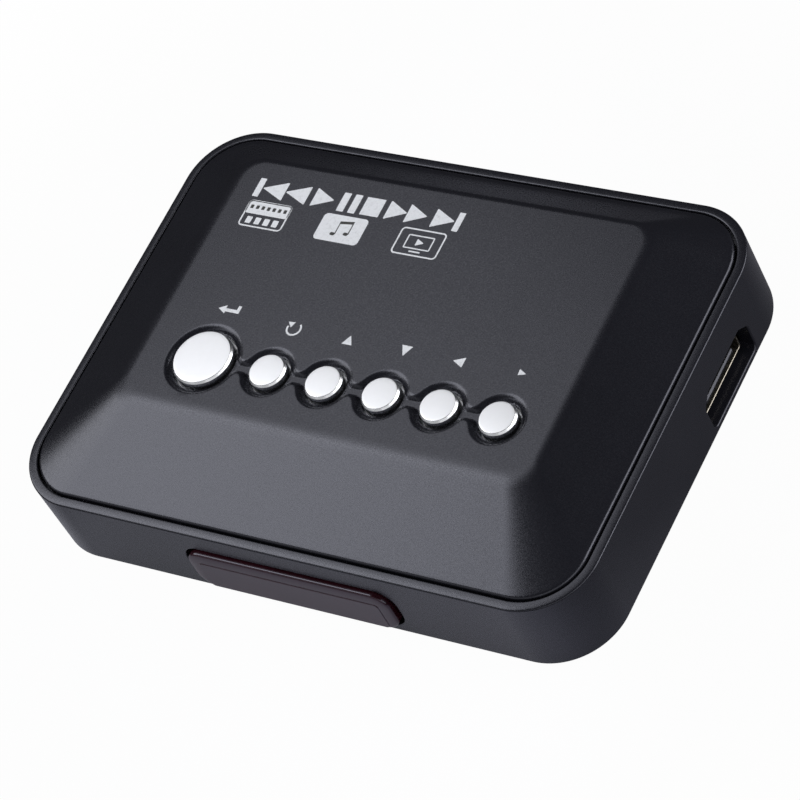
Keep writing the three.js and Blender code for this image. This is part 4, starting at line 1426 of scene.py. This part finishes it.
@dataclass
class Keys:
    """The six keys: turned caps with a satin face, a fine shoulder and a polished bevel."""

    bevel: float = 0.32
    drop: float = 0.42
    crown: float = 0.05
    ceiling: float = 19.6
    flange: float = 0.6
    flange_thickness: float = 0.8
    stem: float = 1.5
    tip: float = 0.3
    radii: tuple = (0.02, 0.05, 0.05, 0.1, 0.1, 0.05, 0.14, 0.14, 0.02)
    arc_steps: int = 4
    sides: int = 96
    sharp: float = math.radians(25)
    names: tuple = ("enter", "return", "up", "down", "left", "right")

    def places(self) -> list:
        """Each key's centre and radius, from its CAD node and the flange round it.

        Returns:
            One KeyPlace for each key.
        """
        found = []
        for name in self.names:
            low, high = cad_box(f"{name}_key")
            x, y, _ = (low + high) / 2
            found.append(KeyPlace(name, x, y, (high[0] - low[0]) / 2 - self.flange))
        return found

    def profile(self, key: KeyPlace, low: float, high: float) -> list:
        """Section of a cap: stem, flange, side, bevel and face.

        The face falls from its middle by crown times the square of its share of the radius.
        Args:
            key: the key's place and radius.
            low, high: heights of the stem's end and of the face's middle.
        Returns:
            Rows of [radius, height], without the arcs at the two ends of the axis.
        """
        r, inner, edge = key.radius, key.radius - self.bevel, high - self.crown
        outer, under = r + self.flange, self.ceiling - self.flange_thickness
        corners = [[self.tip, low], [self.stem, low], [self.stem, under], [outer, under],
                   [outer, self.ceiling], [r, self.ceiling], [r, edge - self.drop], [inner, edge],
                   [self.tip, high]]
        ends = self.arc_steps + 1
        path = rounded_outline(corners, self.radii, self.arc_steps).points[ends:-ends]
        shares = np.linspace(1, 0.06, 9)[1:]
        face = np.column_stack([inner * shares, high - self.crown * shares ** 2])
        return [*path.tolist(), *face.tolist()]

    def build(self) -> None:
        """Makes every cap on its own body."""
        for key in self.places():
            low, high = cad_box(f"{key.name}_key")
            shape = turned(key.x, key.y, self.profile(key, low[2], high[2]), self.sides)
            finished(bare_object(f"{key.name}_cap", shape), KEY_PLATING, f"{key.name}_button",
                     (f"{key.name}_key",), self.sharp)


@dataclass
class Prints:
    """White and black pad prints on the flat top: signs by the keys, playback signs and three badges."""

    top: float
    film: float = 0.02
    over: float = 0.035
    sink: float = 0.02
    title_low: float = 22.8
    title_high: float = 26.7
    badge_y: float = 19.35
    badge_half: tuple = (4.45, 2.75)
    badge_corner: float = 0.8
    badges: tuple = (-30.9, -15.4, 0.2)
    frame: float = 0.28

    def inked(self, outline: Outline, over: bool = False) -> Shape:
        """Flat print of an outline, or one over another print."""
        return plate(outline, self.top - self.sink, self.top + (self.over if over else self.film))

    def arrow(self, tip_x: float, base_x: float, low: float, high: float) -> Outline:
        """Triangle that points left or right."""
        corners = [[tip_x, (low + high) / 2], [base_x, low], [base_x, high]]
        return rounded_outline(corners if tip_x < base_x else corners[::-1], 0.12, 3)

    def bar(self, x0: float, x1: float, y0: float, y1: float, soft: float = 0.12) -> Outline:
        """Upright or level bar."""
        return rectangle(x0, x1, y0, y1, soft, 3)

    def arc(self, x: float, y: float, inner: float, outer: float, start: float, end: float) -> Outline:
        """Part of a ring: out along the far edge, back along the near one.

        Args:
            x, y: middle of the ring.
            inner, outer: its radii.
            start, end: its ends, in degrees.
        Returns:
            The outline.
        """
        turn = np.radians(np.linspace(start, end, 33))
        way = np.column_stack([np.cos(turn), np.sin(turn)])
        return drawn(np.vstack([way * outer, way[::-1] * inner]) + [x, y])

    def key_signs(self) -> list:
        """Signs over the keys: bent arrow, turning arrow and four pointers.

        Returns:
            Their outlines.
        """
        return [
            drawn([[-29.85, -0.2], [-28.32, -1.05], [-28.32, -0.62], [-25.6, -0.62], [-25.6, 0.9],
                   [-26.22, 0.9], [-26.22, 0.03], [-28.4, 0.03], [-28.45, 0.62]]),
            self.arc(-13.93, -1.33, 1.12, 1.45, 165, 408),
            drawn([[-15.5, -0.2], [-14.62, -1.25], [-14.2, -0.08]]),
            rounded_outline([[-3.92, -2.35], [-1.93, -2.35], [-2.9, -0.5]], 0.07, 3),
            rounded_outline([[8.1, -2.42], [9.13, -0.35], [7.05, -0.33]], 0.07, 3),
            rounded_outline([[17.3, -1.39], [19.37, -2.4], [19.4, -0.42]], 0.07, 3),
            rounded_outline([[31.12, -1.3], [29.58, -0.55], [29.68, -1.75]], 0.07, 3)]

    def title(self) -> list:
        """Row of bold playback signs: skip back, play, pause, stop, run on, skip on.

        Returns:
            Their outlines.
        """
        low, high = self.title_low, self.title_high
        return [self.bar(-35.6, -34.4, low, high), self.arrow(-34.3, -29.6, low, high),
                self.arrow(-29.6, -24.9, low, high), self.arrow(-19.5, -23.7, low, high),
                self.bar(-18.3, -16.9, low, high), self.bar(-16.0, -14.6, low, high),
                self.bar(-13.6, -9.9, low + 0.1, high - 0.1), self.arrow(-4.8, -8.8, low, high),
                self.arrow(-0.8, -4.8, low, high), self.arrow(4.6, 0.4, low, high),
                self.bar(4.75, 5.9, low, high)]

    def white(self) -> Shape:
        """All that is printed in white: the signs, the badges' frames and fields, and what is in them.

        Returns:
            The print's shape.
        """
        half_x, half_y = self.badge_half
        first, _, third = self.badges
        y, low, high = self.badge_y, self.top - self.sink, self.top + self.film
        plates = [self.inked(o) for o in self.key_signs() + self.title()]
        edges = [rectangle(x - half_x, x + half_x, y - half_y, y + half_y, self.badge_corner)
                 for x in self.badges]
        plates += [band(edge, self.frame, low, high) for edge in edges[::2]]
        plates.append(self.inked(rectangle(first - half_x + 0.1, first + half_x - 0.1, y - 0.05,
                                           y + half_y - 0.1, 0.6)))
        plates.append(self.inked(edges[1]))
        plates += [self.inked(self.bar(first + x - 0.55, first + x + 0.55, y - 2.05, y - 0.65))
                   for x in (-2.7, -0.9, 0.9, 2.7)]
        plates.append(band(self.bar(third - 2.6, third + 2.6, y - 1.35, y + 1.5, 0.25), 0.24, low, high))
        plates.append(self.inked(self.bar(third - 1.1, third + 1.1, y - 2.0, y - 1.72, 0.1)))
        plates.append(self.inked(rounded_outline([[third - 0.55, y - 0.65], [third + 0.95, y + 0.08],
                                                  [third - 0.55, y + 0.8]], 0.1, 3)))
        return together(plates)

    def black(self) -> Shape:
        """What is printed in black over the white: film holes and a pair of notes.

        Returns:
            The print's shape.
        """
        first, second, _ = self.badges
        y = self.badge_y
        holes = [self.inked(self.bar(first + x - 0.3, first + x + 0.3, y + 1.0, y + 1.75, 0.1), True)
                 for x in np.linspace(-3.4, 3.4, 7)]
        heads = [self.inked(rounded_outline([[x - 0.6, y + low - 0.2], [x + 0.35, y + low - 0.3],
                                             [x + 0.6, y + low + 0.3], [x - 0.35, y + low + 0.4]],
                                            0.26, 4), True)
                 for x, low in ((second - 1.15, -1.25), (second + 1.35, -0.9))]
        stems = [self.inked(self.bar(x - 0.14, x + 0.05, y + low, y + 1.35, soft=0.04), True)
                 for x, low in ((second - 0.62, -1.2), (second + 1.88, -0.85))]
        left, right = second - 0.76, second + 1.93
        beam = drawn([[left, y + 0.95], [right, y + 1.3], [right, y + 1.85], [left, y + 1.5]])
        return together([*holes, *heads, *stems, self.inked(beam, True)])

    def build(self) -> None:
        """Makes both prints."""
        finished(bare_object("white_print", self.white()), WHITE_INK, "case")
        finished(bare_object("black_print", self.black()), BLACK_INK, "case")


# The studio


def aimed(azimuth: float, elevation: float) -> tuple:
    """Direction at so many degrees from +X towards +Y, and above the floor."""
    a, e = math.radians(azimuth), math.radians(elevation)
    return (math.cos(e) * math.cos(a), math.cos(e) * math.sin(a), math.sin(e))


@dataclass
class Studio:
    """Pale floor, soft lamps and the camera."""

    lens: float = 174.5
    eye: tuple = (337.697, -270.343, 484.047)
    across: tuple = (0.83452324, 0.42731567, -0.3478107)
    upward: tuple = (-0.17174537, 0.80156389, 0.57271185)
    back: tuple = (0.52352125, -0.41820647, 0.74231318)
    floor_half: float = 6000
    floor_drop: float = 0.02
    # floor colours are painted light: a pool of light near the case, brighter to the right along the front,
    # with painted shade beside the case and dark beyond the pool
    floor_painted_light_left: tuple = (0.36, 0.37, 0.46)
    floor_painted_light_right: tuple = (0.50, 0.505, 0.63)
    floor_painted_shade_beside: tuple = (0.15, 0.15, 0.18)
    floor_far_painted_falloff: tuple = (0.036, 0.036, 0.04)
    lamp_distance: float = 0.65
    lamp_aim: tuple = (0, 0, 0.015)
    boxes: tuple = (("key_softbox", (193, 45), (0.42, 0.54), 4.1),
                    ("rear_softbox", (150, 56), (0.3, 0.34), 1.85),
                    ("low_softbox", (36, 20), (0.5, 0.42), 4.2))
    strips: tuple = ((225, 0.5), (270, 0.5), (315, 0.9), (0, 1.6))
    strip_size: tuple = (0.54, 0.42)
    room: tuple = (0.03, 0.03, 0.03)

    def camera(self) -> None:
        """Sets the camera where the photograph was taken."""
        data = bpy.data.cameras.new("camera")
        data.lens, data.sensor_width = self.lens, 36
        data.clip_start, data.clip_end = 0.01, 50
        seat = bpy.data.objects.new("camera", data)
        turn = Matrix((self.across, self.upward, self.back)).transposed().to_4x4()
        seat.matrix_world = Matrix.Translation([v * MM for v in self.eye]) @ turn
        bpy.context.scene.collection.objects.link(seat)
        bpy.context.scene.camera = seat

    def floor(self) -> None:
        """Pale floor that whitens where it is seen or mirrored, and keeps a soft shadow.

        Its colour is painted light: a painted pool of light near the case that brightens from left to right
        along the front, painted shade beside the case on the right, and dark far away, so that what it throws
        back onto the walls differs by side. To the camera it is white with a trace of shading near the case,
        and in mirrors it glows with painted light, more the nearer it is and less in the painted shade.
        """
        h, low = self.floor_half, -self.floor_drop
        corners = np.array([[-h, -h, low], [h, -h, low], [h, h, low], [-h, h, low]], float)
        ground = bare_object("floor", Shape(corners, [(0, 1, 2, 3)]))
        recipe = Recipe("pale_floor")
        away = recipe.node("VectorMath", {0: recipe.place}, operation="LENGTH").outputs["Value"]
        beside = recipe.node("VectorMath", {0: recipe.place, 1: (1, 0.6, 0)}, operation="DOT_PRODUCT")
        # card marks the painted shade on the floor beside the case on the right
        card = recipe.spread(beside.outputs["Value"], 0, 1, 0.025, 0.055)
        along = recipe.node("SeparateXYZ", {0: recipe.place}).outputs[0]
        # front, near and colour are painted light: brighter to the right along the front, painted shade
        # beside the case, dark beyond the pool
        front = recipe.blend(recipe.spread(along, 0, 1, -0.035, 0.035), rgb(*self.floor_painted_light_left),
                             rgb(*self.floor_painted_light_right))
        near = recipe.blend(card, front, rgb(*self.floor_painted_shade_beside))
        colour = recipe.blend(recipe.spread(away, 0, 1, 0.068, 0.1), near, rgb(*self.floor_far_painted_falloff))
        recipe.shade(Base_Color=colour, Roughness=0.9, Specular_IOR_Level=0.0)
        path = recipe.node("LightPath").outputs
        mirrored = recipe.maths("MAXIMUM", path["Is Glossy Ray"], path["Is Transmission Ray"])
        # painted glow in mirrors: brighter near the case, weaker in the painted shade beside it
        painted_glow = recipe.maths("MULTIPLY", recipe.spread(away, 0.19, 0.0, 0.065, 0.1),
                            recipe.spread(card, 1, 0.33, 0, 1))
        part = recipe.maths("MULTIPLY", mirrored, painted_glow)
        seen = recipe.maths("MULTIPLY", path["Is Camera Ray"], recipe.spread(away, 0.975, 1, 0.07, 0.16))
        share = recipe.maths("MAXIMUM", seen, part)
        white = recipe.node("Emission", {"Color": rgb(1, 1, 1), "Strength": 1.0})
        mix = recipe.node("MixShader", {0: share, 1: recipe.shader.outputs[0], 2: white.outputs[0]})
        recipe.tree.links.new(mix.outputs[0], recipe.tree.nodes["Material Output"].inputs[0])
        ground.data.materials.append(recipe.made)

    def lamp(self, name: str, towards: tuple, size: tuple, radiance: float) -> None:
        """Adds a rectangular softbox that faces the middle of the case.

        Args:
            name: the lamp's name.
            towards: direction from the aim to the lamp.
            size: metres across and up.
            radiance: brightness of its face, where 1 shows as white.
        """
        data = bpy.data.lights.new(name, "AREA")
        data.shape, data.size, data.size_y = "RECTANGLE", size[0], size[1]
        data.energy = radiance * math.pi * size[0] * size[1]
        seat = bpy.data.objects.new(name, data)
        way = np.array(towards, float)
        way /= np.linalg.norm(way)
        right = np.cross([0, 0, 1], way)
        right /= np.linalg.norm(right)
        turn = Matrix((right, np.cross(way, right), way)).transposed().to_4x4()
        seat.matrix_world = Matrix.Translation(np.array(self.lamp_aim) + way * self.lamp_distance) @ turn
        bpy.context.scene.collection.objects.link(seat)

    def build(self) -> None:
        """Sets up the whole studio."""
        bpy.context.scene.view_settings.view_transform = "Standard"
        self.camera()
        self.floor()
        for name, angles, size, radiance in self.boxes:
            self.lamp(name, aimed(*angles), size, radiance)
        for turn, radiance in self.strips:
            self.lamp(f"low_strip_{turn}", aimed(turn, 20), self.strip_size, radiance)
        world = bpy.data.worlds.new("room")
        bpy.context.scene.world = world
        world.use_nodes = True
        world.node_tree.nodes["Background"].inputs[0].default_value = rgb(*self.room)


def dress_carried_over() -> None:
    """Gives every CAD node that is still shown its finish, by the longest matching name."""
    for name, node in frame["nodes"].items():
        if node.hide_render:
            continue
        if name.endswith("_plunger"):
            finish = SOCKET_PLASTIC
        elif name.endswith("_switch"):
            finish = SWITCH_COVER
        else:
            finish = CARRIED_OVER[max((start for start in CARRIED_OVER if name.startswith(start)), key=len)]
        node.data.materials.clear()
        node.data.materials.append(finish.material())
        LOG.info("%s keeps its CAD shape in %s", name, finish.name)


def main() -> None:
    """Builds the case, the keys and the studio."""
    logging.basicConfig(level=logging.INFO, format="%(name)s: %(message)s")
    shell, window, keys = Shell(), Window(), Keys()
    video, data, card = VideoSocket(), DataSocket(), CardSocket()
    power = RoundJack(Side.REAR, 34.0, 9.5)
    sound = RoundJack(Side.REAR, 17.77, 8.5, "sound", "sound_jack", 3.5, 2.8, 2.7, 1.8, 8.0, 3.0)
    shell.build([fitted.opening(shell) for fitted in (window, video, data, card, power, sound)])
    cover = Cover(keys.places())
    cover.build(shell.feet())
    window.build(shell)
    for part in (video, data, card, power, PowerPin(), sound, keys, Prints(cover.top)):
        part.build()
    for number in range(1, 5):
        Foot(number).build()
    dress_carried_over()
    Studio().build()


if __name__ == "__main__":
    main()
